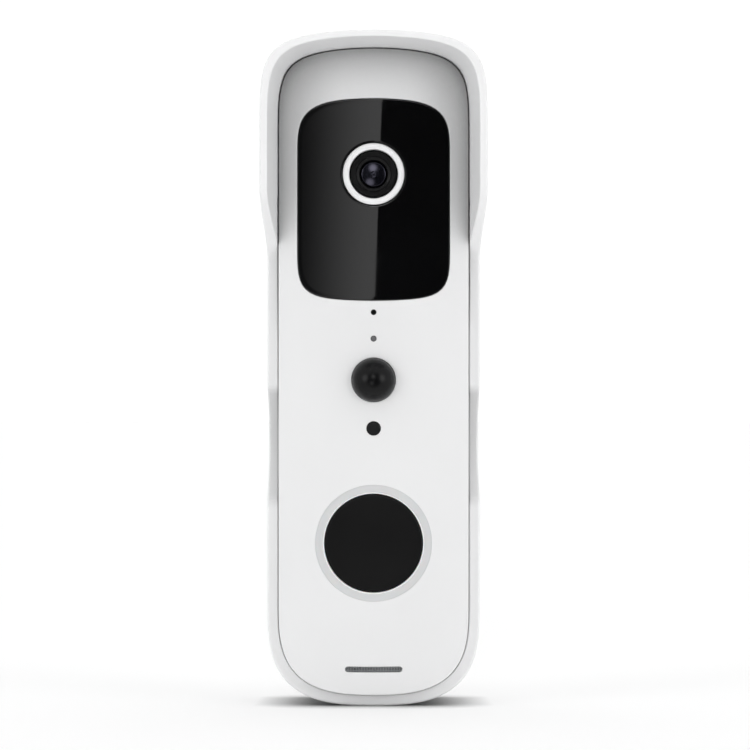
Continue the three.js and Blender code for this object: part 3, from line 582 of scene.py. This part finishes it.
def dress(obj, surface, body, slot, *nodes):
    """Gives a piece its material and body, and hides the CAD nodes it stands for. Its slot is not used."""
    obj.data.materials.clear()
    obj.data.materials.append(surface.material)
    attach(obj, body)
    if nodes:
        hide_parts(*nodes)
    return obj


# ---------------------------------------------------------------- the wall bracket

CABLE_WINDOW = ((-13.0, 13.0), (-63.0, -40.5), 3.0)  # its sides, its ends and its corners
WALL_SLOTS = (52.0, -27.0)  # the heights of the slots for wall screws
LOCK_BOSS, LOCK_HOLE = 3.2, 1.75
SCALLOP_SOFTNESS = 0.45


def edge_depth(z):
    """How far the bracket's front edge stands from the wall at a height z: the hood, its S-shaped
    run-out into the band, and the finger scallop."""
    rise = np.clip((z - BAND_HIGH) / (HOOD_LOW - BAND_HIGH), 0, 1)
    depth = -BAND + (BAND - BRACKET_FRONT) * rise * rise * (3 - 2 * rise)
    radius = (SCALLOP_HALF**2 + SCALLOP_DEPTH**2) / (2 * SCALLOP_DEPTH)
    across = np.clip(radius**2 - (z - SCALLOP_MIDDLE) ** 2, 0, None)
    dip = np.sqrt(across) - (radius - SCALLOP_DEPTH)
    return depth - 0.5 * (dip + np.sqrt(dip**2 + SCALLOP_SOFTNESS**2)) * (across > 0)


def outside_offsets(depth):
    """Where the sleeve's outside stands at a distance from the wall, as (side, end) offsets."""
    share = (depth / BRACKET_FRONT) ** 2
    return tuple(back + flare * share for back, flare in zip(OUTSIDE_BACK, OUTSIDE_FLARE))


def inside_offsets(depth):
    """Where the sleeve's inside stands at a distance from the wall, as (side, end) offsets."""
    reach = (depth + INSIDE_FLARE_START) / (-BRACKET_FRONT + INSIDE_FLARE_START)
    share = np.clip(reach, 0, None)
    return tuple(GAP + flare * share for flare in INSIDE_FLARE)


def bracket_piece():
    shell = Shell()
    base = BODY.loop(2.6)
    depth = edge_depth(base[:, 1])
    back_round, outer_round, inner_round, plate_round = 0.8, 0.5, 0.35, 0.6
    arc = np.linspace(0, math.pi / 2, 6)
    rings = []

    def add(offsets, inset, y):
        loop = BODY.loop(offsets[0] - inset, offsets[1] - inset)
        rings.append(shell.ring(loop, -y))

    for a in arc:  # back edge
        at = np.full(len(base), back_round - back_round * math.cos(a))
        add(outside_offsets(at), back_round * (1 - math.sin(a)), at)
    for t in np.linspace(0, 1, 15)[1:-1]:  # outside wall
        at = back_round + (depth - outer_round - back_round) * t
        add(outside_offsets(at), 0, at)
    for a in arc:  # outside of the front edge
        at = depth - outer_round + outer_round * math.sin(a)
        add(outside_offsets(at), outer_round * (1 - math.cos(a)), at)
    for a in arc[::-1]:  # inside of the front edge
        at = depth - inner_round + inner_round * math.sin(a)
        add(inside_offsets(at), -inner_round * (1 - math.cos(a)), at)
    inside_end = -PLATE + plate_round
    for t in np.linspace(0, 1, 15)[1:-1]:  # inside wall
        at = depth - inner_round + (inside_end - depth + inner_round) * t
        add(inside_offsets(at), 0, at)
    for a in arc:  # into the plate
        at = np.full(len(base), inside_end - plate_round * math.sin(a))
        add(inside_offsets(at), plate_round * (1 - math.cos(a)), at)
    shell.join(rings)

    through = soften([(0.4, PLATE), (0, PLATE), (0, 0), (0.4, 0)], 0.25)
    front, back = shell.sweep(rectangle(*CABLE_WINDOW), through)
    fronts, backs = [front], [back]
    for z in WALL_SLOTS:
        sink = capsule((0, z), 13.0, 8.4)
        slot = capsule((0, z), 9.0, 4.4)
        floor = PLATE + 0.9
        upper = soften([(0.3, PLATE), (0, PLATE), (0, floor), (-0.3, floor)], 0.15)
        lower = soften([(0.3, floor), (0, floor), (0, 0), (0.3, 0)], 0.15)
        first, low = shell.sweep(sink, upper)
        inner, last = shell.sweep(slot, lower)
        shell.fill(low, inner)
        fronts.append(first)
        backs.append(last)
    shell.fill(rings[-1], *fronts)
    shell.fill(rings[0], *backs)
    obj = shell.piece("wall_bracket_shell")
    combine(obj, [upright(rod((0, 0), LOCK_BOSS, (BOTTOM - 0.6, -67.5)))], "UNION")
    low, high = limits("security_screw", Z)
    combine(obj, [upright(rod((0, 0), LOCK_HOLE, (low - 3, high + 3)))], "DIFFERENCE")
    smooth(obj)
    return dress(obj, BRACKET_WHITE, "bracket", "white_plastic", "wall_bracket")


bracket_piece()

# ---------------------------------------------------------------- the front housing

CAMERA_HOLE = 6.85
DOME_OUTER, DOME_INNER, DOME_CENTRE = 4.74, 4.2, -30.5
BUTTON_HOLE = 12.52
SNUG = 0.12  # how far the housing's wall stands out towards the sleeve


def front_housing_piece():
    shell = Shell()
    wall = [(-1.6, FACE), (SNUG, FACE), (SNUG, FRONT_EDGE), (-WALL, FRONT_EDGE)]
    wall += [(-WALL, FACE_INSIDE), (-WALL - 0.6, FACE_INSIDE)]
    first, last = shell.sweep(BODY_SIMPLE.loop, soften(wall, [0, 0.12, 0.15, 0.15, 0.4, 0], 6))
    fronts, insides = [], []
    seat = WINDOW_BACK + 0.25
    recess = [(0.6, FACE), (0.08, FACE), (0.08, seat), (-1.5, seat)]
    recess += [(-1.5, FACE_INSIDE), (-1.2, FACE_INSIDE)]
    holes = [(PANE.loop, recess, 0.3)]

    def through(outline, size, edge):
        profile = [(size + 2 * edge, FACE), (size, FACE), (size, FACE_INSIDE), (size + 0.1, FACE_INSIDE)]
        holes.append((outline, profile, edge))

    through(circle(MICROPHONE, 32), 0.6, 0.1)
    through(circle(STATUS, 32), 0.66, 0.06)
    through(circle(MOTION, 96), DOME_OUTER + 0.03, 0.1)
    through(circle(LIGHT_SENSOR, 48), 1.57, 0.08)
    through(circle(BUTTON, 144), BUTTON_HOLE, 0.03)
    through(capsule((0, SLOT_Z), SLOT_LENGTH, SLOT_WIDTH, SLOT_BOW), 0, 0.12)
    for outline, profile, edge in holes:
        a, b = shell.sweep(outline, soften(profile, edge, 4))
        fronts.append(a)
        insides.append(b)
    shell.fill(first, *fronts)
    shell.fill(last, *insides)
    obj = smooth(shell.piece("front_cover"))
    return dress(obj, FACE_WHITE, UNIT, "white_plastic", "front_housing")


front_housing_piece()


def window_piece():
    shell = Shell()
    edge = [(-0.9, WINDOW_FRONT), (0, WINDOW_FRONT), (0, WINDOW_BACK), (-0.4, WINDOW_BACK)]
    first, last = shell.sweep(PANE.loop, soften(edge, [0, 0.18, 0.1, 0], 5))
    hole = [(CAMERA_HOLE + 0.3, WINDOW_FRONT), (CAMERA_HOLE, WINDOW_FRONT)]
    hole += [(CAMERA_HOLE, WINDOW_BACK), (CAMERA_HOLE + 0.2, WINDOW_BACK)]
    front, back = shell.sweep(circle(CAMERA, 96), soften(hole, 0.1, 3))
    shell.fill(first, front)
    shell.fill(last, back)
    obj = smooth(shell.piece("camera_window"))
    return dress(obj, PANE_BLACK, UNIT, "black_gloss", "front_window")


window_piece()


def turned_piece(name, centre, profile, surface, body, slot, nodes, segments=96, radius=0.12):
    """A turned piece with softened edges, from a profile of (radius, y) that is closed unless it
    starts and ends on the axis."""
    shell = Shell()
    closed = profile[0][0] > 0
    shell.turn(centre, soften(profile, radius, 4, closed), segments, closed)
    return dress(smooth(shell.piece(name)), surface, body, slot, *nodes)


turned_piece(
    "camera_trim_ring",
    CAMERA,
    [(5.2, -27.2), (5.2, FACE + 0.5), (5.32, FACE - 0.2), (5.6, FACE - 0.35)]
    + [(6.3, FACE - 0.35), (6.6, FACE - 0.05), (6.6, -27.2)],
    WHITE_GLOSS,
    UNIT,
    "white_plastic",
    ["camera_ring"],
    segments=128,
)


def barrel_piece():
    """The barrel steps in towards the glass, with fine light-trap grooves on its first slope."""
    front = [(4.95, -30.35), (4.7, -30.7), (4.45, -30.7)]
    grooves = []
    for i in range(5):
        r, y = 4.4 - 0.13 * i, -30.6 + 0.1 * i
        grooves += [(r, y), (r - 0.02, y + 0.09)]
    inner = [(3.78, -30.05), (3.72, -29.75), (3.1, -29.5), (2.95, -29.2)]
    inner += [(2.95, -28.0), (3.2, -27.6), (3.2, -21.0)]
    outer = [(4.4, -21.0), (4.4, -27.3), (4.95, -27.3)]
    shell = Shell()
    shell.turn(CAMERA, soften(front + grooves + inner + outer, 0.06, 2, closed=True), 96, closed=True)
    return dress(smooth(shell.piece("camera_barrel"), 60), BARREL_BLACK, UNIT, "black_plastic", "lens_barrel")


barrel_piece()


def lens_piece():
    """The front element: a shallow dome with the rim of the iris marked round its middle."""
    radius, curvature, edge, pupil = 2.75, 10.0, -28.9, 0.42
    centre = edge + math.sqrt(curvature**2 - radius**2)

    def front(r, lift=0.0):
        return r, centre - math.sqrt(curvature**2 - r**2) + lift

    profile = [front(0), front(0.16), front(pupil - 0.08)]
    profile += [front(pupil - 0.04, 0.03), front(pupil + 0.04, 0.03), front(pupil + 0.08)]
    profile += [front(pupil + 0.1 + (radius - 0.25 - pupil) * i / 12) for i in range(1, 13)]
    profile += [(radius, edge + 0.1), (radius, -28.2), (0, -28.2)]
    shell = Shell()
    shell.turn(CAMERA, profile, 80)
    return dress(smooth(shell.piece("camera_lens"), 50), LENS, UNIT, "lens_glass", "lens_glass")


lens_piece()


def arc_points(radius, centre_y, start, end, steps):
    """Points of an arc as (radius, y), between two angles from straight ahead."""
    angles = [start + (end - start) * i / steps for i in range(steps + 1)]
    return [(radius * math.sin(a), centre_y - radius * math.cos(a)) for a in angles]


def dome_piece():
    outside = arc_points(DOME_OUTER, DOME_CENTRE, 0, math.pi / 2, 28)
    inside = arc_points(DOME_INNER, DOME_CENTRE, math.pi / 2, 0, 14)
    flange = [(DOME_OUTER, -30.4), (DOME_OUTER, -28.4), (6.4, -28.4)]
    flange += [(6.4, -27.7), (DOME_INNER, -27.7), (DOME_INNER, -30.4)]
    shell = Shell()
    shell.turn(MOTION, outside + soften(flange, 0.1)[1:-1] + inside, 96)
    return dress(smooth(shell.piece("motion_lens"), 50), DOME_BLACK, UNIT, "black_gloss", "motion_dome")


dome_piece()


turned_piece(
    "call_button_cap",
    BUTTON,
    [(0, FACE + 0.27), (6, FACE + 0.22), (10.1, FACE + 0.1), (10.5, FACE + 0.25), (10.5, -28.6)]
    + [(9.1, -28.6), (9.1, -29.4), (2.2, -29.4), (2.2, -28.0), (0, -28.0)],
    BLACK,
    "call_button",
    "black_plastic",
    ["button_cap"],
    segments=144,
    radius=0.2,
)
turned_piece(
    "call_button_ring",
    BUTTON,
    [(10.62, -27.9), (10.62, FACE + 0.2), (10.84, FACE + 0.02), (12.5, FACE), (12.5, -28.5)]
    + [(13.4, -28.5), (13.4, -27.9)],
    FROSTED,
    UNIT,
    "light_ring",
    ["button_light_ring"],
    segments=144,
    radius=0.05,
)
turned_piece(
    "light_sensor_lens",
    LIGHT_SENSOR,
    [(0, FACE + 0.12), (1.2, FACE + 0.12), (1.53, FACE + 0.3), (1.53, -28.4), (2.6, -28.4)]
    + [(2.6, -27.4), (0, -27.4)],
    SENSOR_BLACK,
    UNIT,
    "black_gloss",
    ["light_sensor_window"],
    segments=48,
)
turned_piece(
    "status_light_lens",
    STATUS,
    [(0, FACE + 0.05), (0.4, FACE + 0.07), (0.6, FACE + 0.2), (0.6, -28.4), (1.5, -28.4)]
    + [(1.5, -27.0), (0, -27.0)],
    PIPE,
    UNIT,
    "light_ring",
    ["status_light_pipe"],
    segments=32,
    radius=0.05,
)
turned_piece(
    "microphone_boot",
    MICROPHONE,
    [(0, FACE + 1.3), (0.3, FACE + 1.2), (0.4, FACE + 0.9), (0.56, FACE + 0.8), (0.56, -28.7)]
    + [(1.1, -28.5), (1.1, -26.5), (0, -26.5)],
    RUBBER_BLACK,
    UNIT,
    "black_rubber",
    [],
    segments=32,
    radius=0.04,
)


def wire(shell, points, radius, sides=6):
    """A thin round wire through points, closed at its ends."""
    points = [Vector(p) for p in points]
    previous = None
    for i, p in enumerate(points):
        way = (points[min(i + 1, len(points) - 1)] - points[max(i - 1, 0)]).normalized()
        first = way.orthogonal() if abs(way.y) > 0.9 else way.cross(Vector((0, 1, 0)))
        first = first.normalized()
        second = way.cross(first).normalized()
        ring = []
        for k in range(sides):
            angle = 2 * math.pi * k / sides
            at = p + (first * math.cos(angle) + second * math.sin(angle)) * radius
            ring.append(shell.bm.verts.new(at * MM))
        if previous:
            shell.strip(previous, ring)
        else:
            shell.bm.faces.new(ring)
        previous = ring
    shell.bm.faces.new(previous[::-1])


def speaker_mesh_piece():
    """Woven wire behind the speaker slot."""
    (x0, x1), (z0, z1) = limits("speaker_mesh", X), limits("speaker_mesh", Z)
    y = sum(limits("speaker_mesh", Y)) / 2
    pitch, radius, weave, margin = 0.34, 0.07, 0.06, 0.2
    columns = range(int((x1 - x0 - 2 * margin) / pitch) + 1)
    rows = range(int((z1 - z0 - 2 * margin) / pitch) + 1)
    shell = Shell()
    for i in columns:
        x = x0 + margin + i * pitch
        heights = [weave * math.cos(math.pi * (k + i)) for k in rows]
        wire(shell, [(x, y + h, z0 + margin + k * pitch) for k, h in zip(rows, heights)], radius)
    for k in rows:
        z = z0 + margin + k * pitch
        heights = [weave * math.cos(math.pi * (k + i)) for i in columns]
        wire(shell, [(x0 + margin + i * pitch, y - h, z) for i, h in zip(columns, heights)], radius)
    return dress(smooth(shell.piece("speaker_grille"), 60), STEEL, UNIT, "steel", "speaker_mesh")


speaker_mesh_piece()

# ---------------------------------------------------------------- the rear housing and what is on it

COVER_SHELF, COVER_SEAT_GAP = -5.5, 0.2
COVER_X, COVER_Z = limits("battery_cover", X), limits("battery_cover", Z)
COVER_Y = limits("battery_cover", Y)
PORT = middle("usb_port")
RESET = middle("reset_button")
CASE_SCREWS = [f"case_screw_{end}_{side}" for end in ("top", "bottom") for side in ("left", "right")]
COVER_SCREWS = ["battery_cover_screw_upper", "battery_cover_screw_lower"]
TERMINAL_SCREWS = ["terminal_screw_left", "terminal_screw_right"]
NOTCH_HALF, NOTCH_ROOF, NOTCH_FRONT = 4.2, -66.6, -12.0


def rear_housing_piece():
    inside = REAR - 2.0
    profile = [(-WALL, inside), (-WALL, REAR_EDGE), (0, REAR_EDGE), (0, REAR), (-1.6, REAR)]
    obj = swept(BODY_SIMPLE.loop, soften(profile, [0, 0.12, 0.12, 0.7, 0], 6), "rear_cover")
    notch = NOTCH_HALF + 1.3
    notch_wall = block((-notch, notch), (NOTCH_FRONT - 1.3, inside + 0.3), (BOTTOM + 1.0, -63.4))
    bosses = [rod(middle(node), 3.1, (REAR_EDGE + 0.4, inside + 0.3)) for node in CASE_SCREWS]
    shelves = [
        block((-19.0, 19.0), (-7.5, inside + 0.3), (COVER_Z[1] - 5.6, COVER_Z[1] + 1.5)),
        block((-19.0, 19.0), (-7.5, inside + 0.3), (COVER_Z[0] - 1.5, COVER_Z[0] + 3.1)),
    ]
    combine(obj, [notch_wall, *bosses, *shelves], "UNION")
    seat = (COVER_Z[0] - COVER_SEAT_GAP, COVER_Z[1] + COVER_SEAT_GAP)
    cuts = [block((-30, 30), (COVER_SHELF, 1), seat)]
    for node in CASE_SCREWS:
        cuts += [rod(middle(node), 1.4, (-20, 1)), rod(middle(node), 2.4, (-5.4, 1))]
    cuts += [rod(middle(node), 1.2, (-9, 1)) for node in COVER_SCREWS]
    cuts += [rod(middle(node), 3.1, (-9, 1)) for node in TERMINAL_SCREWS]
    cuts.append(rod(RESET, 1.75, (-9, 1)))
    cuts.append(block((-NOTCH_HALF, NOTCH_HALF), (NOTCH_FRONT, 1), (BOTTOM - 9, NOTCH_ROOF)))
    cuts.append(upright(rod((0, 0), 1.85, (NOTCH_ROOF - 2, NOTCH_ROOF + 2.4))))
    pocket = rectangle(limits("port_flap", X), limits("port_flap", Z), 1.0)
    cuts.append(prism(pocket, 0.25, (limits("port_flap", Y)[0] - 0.1, 1)))
    mouth = rectangle((PORT[0] - 4.1, PORT[0] + 4.1), (PORT[1] - 1.65, PORT[1] + 1.65), 1.3)
    cuts.append(prism(mouth, 0.0, (-9, 1)))
    combine(obj, cuts, "DIFFERENCE")
    return dress(smooth(obj, bevel=0.12), WHITE, UNIT, "white_plastic", "rear_housing")


rear_housing_piece()


def battery_cover_piece():
    edge = [(-0.8, COVER_Y[0]), (0, COVER_Y[0]), (0, COVER_Y[1]), (-0.8, COVER_Y[1])]
    edge = soften(edge, [0, 0.15, 0.45, 0], 5)
    obj = swept(rectangle(COVER_X, COVER_Z, 1.0, 8), edge, "battery_door")
    cuts = []
    for node in COVER_SCREWS:
        cuts += [rod(middle(node), 1.2, (-9, 1)), rod(middle(node), 2.2, (COVER_Y[0] + 0.8, 1))]
    for step in (-3, -1, 1, 3):
        grip = rectangle((-7.0, 7.0), (-33.45 + step, -32.55 + step), 0.44, 5)
        cuts.append(prism(grip, 0.0, (COVER_Y[1] - 0.5, 1)))
    combine(obj, cuts, "DIFFERENCE")
    return dress(smooth(obj, bevel=0.12), WHITE, UNIT, "white_plastic", "battery_cover")


battery_cover_piece()


def case_gasket_piece():
    """The rubber ring between the two halves of the case."""
    inner, outer = -1.2, -0.3
    front, back = FRONT_EDGE + 0.2, REAR_EDGE - 0.2
    profile = [(inner, front), (outer, front), (outer, back), (inner, back)]
    shell = Shell()
    shell.sweep(BODY_SIMPLE.loop, soften(profile, 0.2, 3, closed=True), closed=True)
    obj = smooth(shell.piece("case_gasket"), 60)
    return dress(obj, RUBBER_GREY, UNIT, "grey_rubber", "housing_seal")


case_gasket_piece()


def cross_screw(node, surface, slot):
    """A pan-head screw facing the wall, with a tapered cross recess."""
    (x0, x1), (y0, y1) = limits(node, X), limits(node, Y)
    centre, head = middle(node), (x1 - x0) / 2
    shank, under = head * 0.5, y1 - head * 0.7
    profile = [(0, y0), (shank * 0.7, y0), (shank, y0 + 0.5), (shank, under), (head, under)]
    profile += [(head, y1 - 0.45), (head * 0.86, y1 - 0.12), (head * 0.5, y1), (0, y1)]
    shell = Shell()
    shell.turn(centre, soften(profile, 0.1, 3), 48)
    obj = shell.piece(node + "_head")
    reach, depth, half_width = head * 0.62, head * 0.34, head * 0.13
    place = Matrix.Translation((centre[0] * MM, 0, centre[1] * MM))
    cuts = []
    for angle in (0, 90):
        arm = block((-reach, reach), (y1 - depth, y1 + 1), (-half_width, half_width))
        for v in arm.data.vertices:
            if v.co.y < (y1 + 0.1) * MM:
                v.co.x *= 0.72
        arm.data.transform(place @ Matrix.Rotation(math.radians(angle), 4, "Y"))
        cuts.append(arm)
    combine(obj, cuts, "DIFFERENCE")
    return dress(smooth(obj, 35), surface, UNIT, slot, node)


for node in CASE_SCREWS + COVER_SCREWS:
    cross_screw(node, STEEL, "steel")
for node in TERMINAL_SCREWS:
    cross_screw(node, TIN, "tinned")


def lock_screw_piece():
    low, high = limits("security_screw", Z)
    shell = Shell()
    shell.turn((0, 0), soften([(0, low), (1.5, low), (1.5, high), (1.2, high), (0, high)], 0.18, 4), 48)
    obj = shell.piece("lock_screw_body")
    combine(obj, [rod((0, 0), 0.9, (low - 1, low + 1.6), segments=6)], "DIFFERENCE")
    upright(obj)
    return dress(smooth(obj, 35), STEEL, "lock_screw", "steel", "security_screw")


lock_screw_piece()


def port_flap_piece():
    (x0, x1), (y0, y1), (z0, z1) = (limits("port_flap", axis) for axis in (X, Y, Z))
    edge = soften([(-0.8, y0), (0, y0), (0, y1), (-0.8, y1)], [0, 0.2, 0.3, 0], 4)
    obj = swept(rectangle((x0, x1), (z0, z1), 0.9, 8), edge, "port_cap")
    nick = rectangle((-1.6, 1.6), (z1 - 0.9, z1 + 1), 0.4)
    combine(obj, [prism(nick, 0.0, (y1 - 0.45, y1 + 1))], "DIFFERENCE")
    return dress(smooth(obj, 40, bevel=0.06), RUBBER_BLACK, "port_flap", "black_rubber", "port_flap")


port_flap_piece()


def usb_piece():
    """The socket's folded steel shell, with its tongue."""
    (x0, x1), (y0, y1), (z0, z1) = (limits("usb_port", axis) for axis in (X, Y, Z))
    profile = [(-0.9, y0), (0, y0), (0, y1), (-0.32, y1), (-0.32, y0 + 0.7), (-0.9, y0 + 0.7)]
    profile = soften(profile, [0, 0.2, 0.1, 0.1, 0.1, 0], 4)
    obj = swept(rectangle((x0, x1), (z0, z1), 1.2, 8), profile, "usb_socket")
    blade = rectangle((x0 + 1.4, x1 - 1.4), (PORT[1] - 0.32, PORT[1] + 0.32), 0.2, 4)
    profile = [(-0.1, y0 + 0.3), (0, y0 + 0.3), (0, y1 - 0.5), (-0.1, y1 - 0.5)]
    combine(obj, [swept(blade, soften(profile, 0.08, 3))], "UNION")
    return dress(smooth(obj, 50), STEEL, UNIT, "steel", "usb_port")


usb_piece()

turned_piece(
    "reset_plunger",
    RESET,
    [(0, -5.5), (2.4, -5.5), (2.4, -4.85), (1.5, -4.85), (1.5, -2.9)]
    + [(1.25, REAR), (0.6, REAR), (0, REAR - 0.08)],
    RUBBER_GREY,
    "reset_button",
    "grey_rubber",
    ["reset_button"],
    segments=48,
    radius=0.1,
)

# ---------------------------------------------------------------- carried-over CAD nodes

CARRIED = {
    BARREL_BLACK: ["lens_holder"],
    BLACK: ["button_switch", "switch_stem", "speaker", "reset_switch"],
    RUBBER_BLACK: ["speaker_seal", "speaker_lead"],
    RUBBER_GREY: ["button_seal", "battery_cover_seal"],
    BOARD: ["camera_board", "infrared_board", "main_board", "port_board"],
    CHIP_BLACK: ["image_sensor", "main_chip", "light_sensor"],
    TIN: ["wireless_module", "microphone", "motion_sensor"]
    + ["contact_plate_left", "contact_plate_right"],
    STEEL: ["contact_spring_left", "contact_spring_right"],
    BRASS: ["terminal_plate_left", "terminal_plate_right"],
    RIBBON_FILM: ["camera_ribbon", "port_ribbon", "antenna"],
    CELL_WRAP: ["battery_cell_left", "battery_cell_right"],
    LENS: ["infrared_led_left", "infrared_led_right"],
    FROSTED: ["status_led"],
}


def carry(node, surface):
    """Gives a CAD node, whose mesh stays as it is, its material."""
    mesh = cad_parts[node].data
    mesh.materials.clear()
    mesh.materials.append(surface.material)


for surface, nodes in CARRIED.items():
    for node in nodes:
        carry(node, surface)

# ---------------------------------------------------------------- floor, light and camera


class Formula:
    """A number worked out by nodes, so that light can be written as an expression."""

    def __init__(self, tree, socket):
        self.tree, self.socket = tree, socket

    def step(self, operation, *others, clamp=False):
        node = self.tree.nodes.new("ShaderNodeMath")
        node.operation, node.use_clamp = operation, clamp
        for slot, value in zip(node.inputs, (self, *others)):
            if isinstance(value, Formula):
                self.tree.links.new(value.socket, slot)
            else:
                slot.default_value = value
        return Formula(self.tree, node.outputs[0])

    def __add__(self, other):
        return self.step("ADD", other)

    def __sub__(self, other):
        return self.step("SUBTRACT", other)

    def __mul__(self, other):
        return self.step("MULTIPLY", other)

    def __truediv__(self, other):
        return self.step("DIVIDE", other)

    def rise(self, start, end):
        """0 below start and 1 above end, with a smooth step between."""
        t = ((self - start) / (end - start)).step("ADD", 0.0, clamp=True)
        return t * t * (t * -2.0 + 3.0)


# The dark opening ahead: the angles between which it fades out, and its level.
OPENING, OPENING_LEVEL = (30.0, 46.0), 0.02
# The room's level to the sides and behind the object, and how much darker its left and right are.
SIDE_LIGHT, BACK_LIGHT, LEFT_DROP, RIGHT_DROP = 1.12, 1.07, 0.26, 0.14
# Where the card's edge stands and how it slopes, seen from the object, how far the card fades
# away from its edge, and its level at its end and what its edge adds to that.
CARD_EDGE, CARD_SLOPE, CARD_WIDTH, CARD_LEVEL = -0.0006, 0.035, 0.019, (0.06, 1.16)
# How far each lamp in the opening is tilted from straight ahead, which way round from +X, its
# radius, all in degrees, and its strength.
SOFT_BOXES = [
    (18.1, 95.0, 12.0, 3.6),
    (20.3, 242.0, 12.0, 2.2),
    (47.0, 12.0, 20.0, 2.3),
    (47.0, 168.0, 20.0, 2.3),
]


def cosine(degrees):
    return math.cos(math.radians(degrees))


def soft_room():
    """Even white light from all round, with a dark opening in front of the object, as a camera stands
    in. Beside the camera is a card, whose straight edge shows in the glossy window."""
    world = bpy.data.worlds.new("soft_room")
    world.use_nodes = True
    tree = world.node_tree
    split = tree.nodes.new("ShaderNodeSeparateXYZ")
    tree.links.new(tree.nodes.new("ShaderNodeTexCoord").outputs["Generated"], split.inputs[0])
    x, y, z = (Formula(tree, split.outputs[i]) for i in range(3))
    forward = y * -1.0
    opening = forward.rise(cosine(OPENING[1]), cosine(OPENING[0]))
    room = y.rise(-0.1, 0.3) * (BACK_LIGHT - SIDE_LIGHT) + SIDE_LIGHT
    room = room - (x * -1.0).rise(0.2, 0.95) * LEFT_DROP - x.rise(0.2, 0.95) * RIGHT_DROP
    level = room * (opening * -1.0 + 1.0) + opening * OPENING_LEVEL
    from_edge = (z / forward * CARD_SLOPE + CARD_EDGE) - x / forward
    on_card = from_edge.rise(-0.00015, 0.00015) * forward.rise(0.9, 0.93)
    level = level + on_card * (from_edge.rise(CARD_WIDTH, 0.0) * CARD_LEVEL[1] + CARD_LEVEL[0])
    for tilt, turn, radius, strength in SOFT_BOXES:
        tilt, turn = math.radians(tilt), math.radians(turn)
        aim = (math.sin(tilt) * math.cos(turn), -math.cos(tilt), math.sin(tilt) * math.sin(turn))
        facing = x * aim[0] + y * aim[1] + z * aim[2]
        level = level + facing.rise(cosine(radius), cosine(radius * 0.3)) * strength
    background = tree.nodes["Background"].inputs
    background["Color"].default_value = (1, 1, 1, 1)
    tree.links.new(level.socket, background["Strength"])
    return world


def sheet(name, turn=Matrix()):
    """A square sheet that is 12 m wide, and lies flat unless it's turned."""
    bm = bmesh.new()
    bmesh.ops.create_grid(bm, x_segments=1, y_segments=1, size=6.0)
    bm.transform(turn)
    return object_from(bm, name)


def studio():
    scene = bpy.context.scene
    scene.view_settings.view_transform = "Standard"
    scene.world = soft_room()

    floor = sheet("floor")
    floor.location.z = CAD_BOX[0].z
    pale = Surface("pale_floor").set(Roughness=0.9)
    cloud = pale.noise(400.0, 1.0)
    pale.colours(pale.between(cloud, 0.0, 1.0), (0.96, 0.96, 0.96), (0.97, 0.97, 0.97))
    # Painted shadow: the floor is darkened round the foot of the object.
    pale.painted_crevice_shade(9.0, 0.8)
    floor.visible_glossy = False
    floor.data.materials.append(pale.material)

    turn = Matrix.Translation((0, -4.0, 0)) @ Matrix.Rotation(math.pi / 2, 4, "X")
    backdrop = sheet("backdrop", turn)
    glow = Surface("backdrop_white")
    glow.colours(glow.noise(400.0, 1.0), (0.0, 0.0, 0.0), (0.001, 0.001, 0.001))
    glow.set(Emission_Color=(1.0, 1.0, 1.0, 1.0), Emission_Strength=1.05)
    backdrop.data.materials.append(glow.material)
    backdrop.visible_diffuse = backdrop.visible_glossy = backdrop.visible_shadow = False
    backdrop.visible_transmission = False


studio()

CAMERA_DISTANCE = 1000.0  # from the doorbell's face


def camera():
    data = bpy.data.cameras.new("view")
    data.lens, data.sensor_width = 224.0, 36.0
    data.clip_start, data.clip_end = 0.01, 20.0
    obj = bpy.data.objects.new("view", data)
    bpy.context.scene.collection.objects.link(obj)
    obj.location = (0.0003, (FACE - CAMERA_DISTANCE) * MM, -0.00095)
    obj.rotation_euler = (math.pi / 2, 0, 0)
    bpy.context.scene.camera = obj


camera()
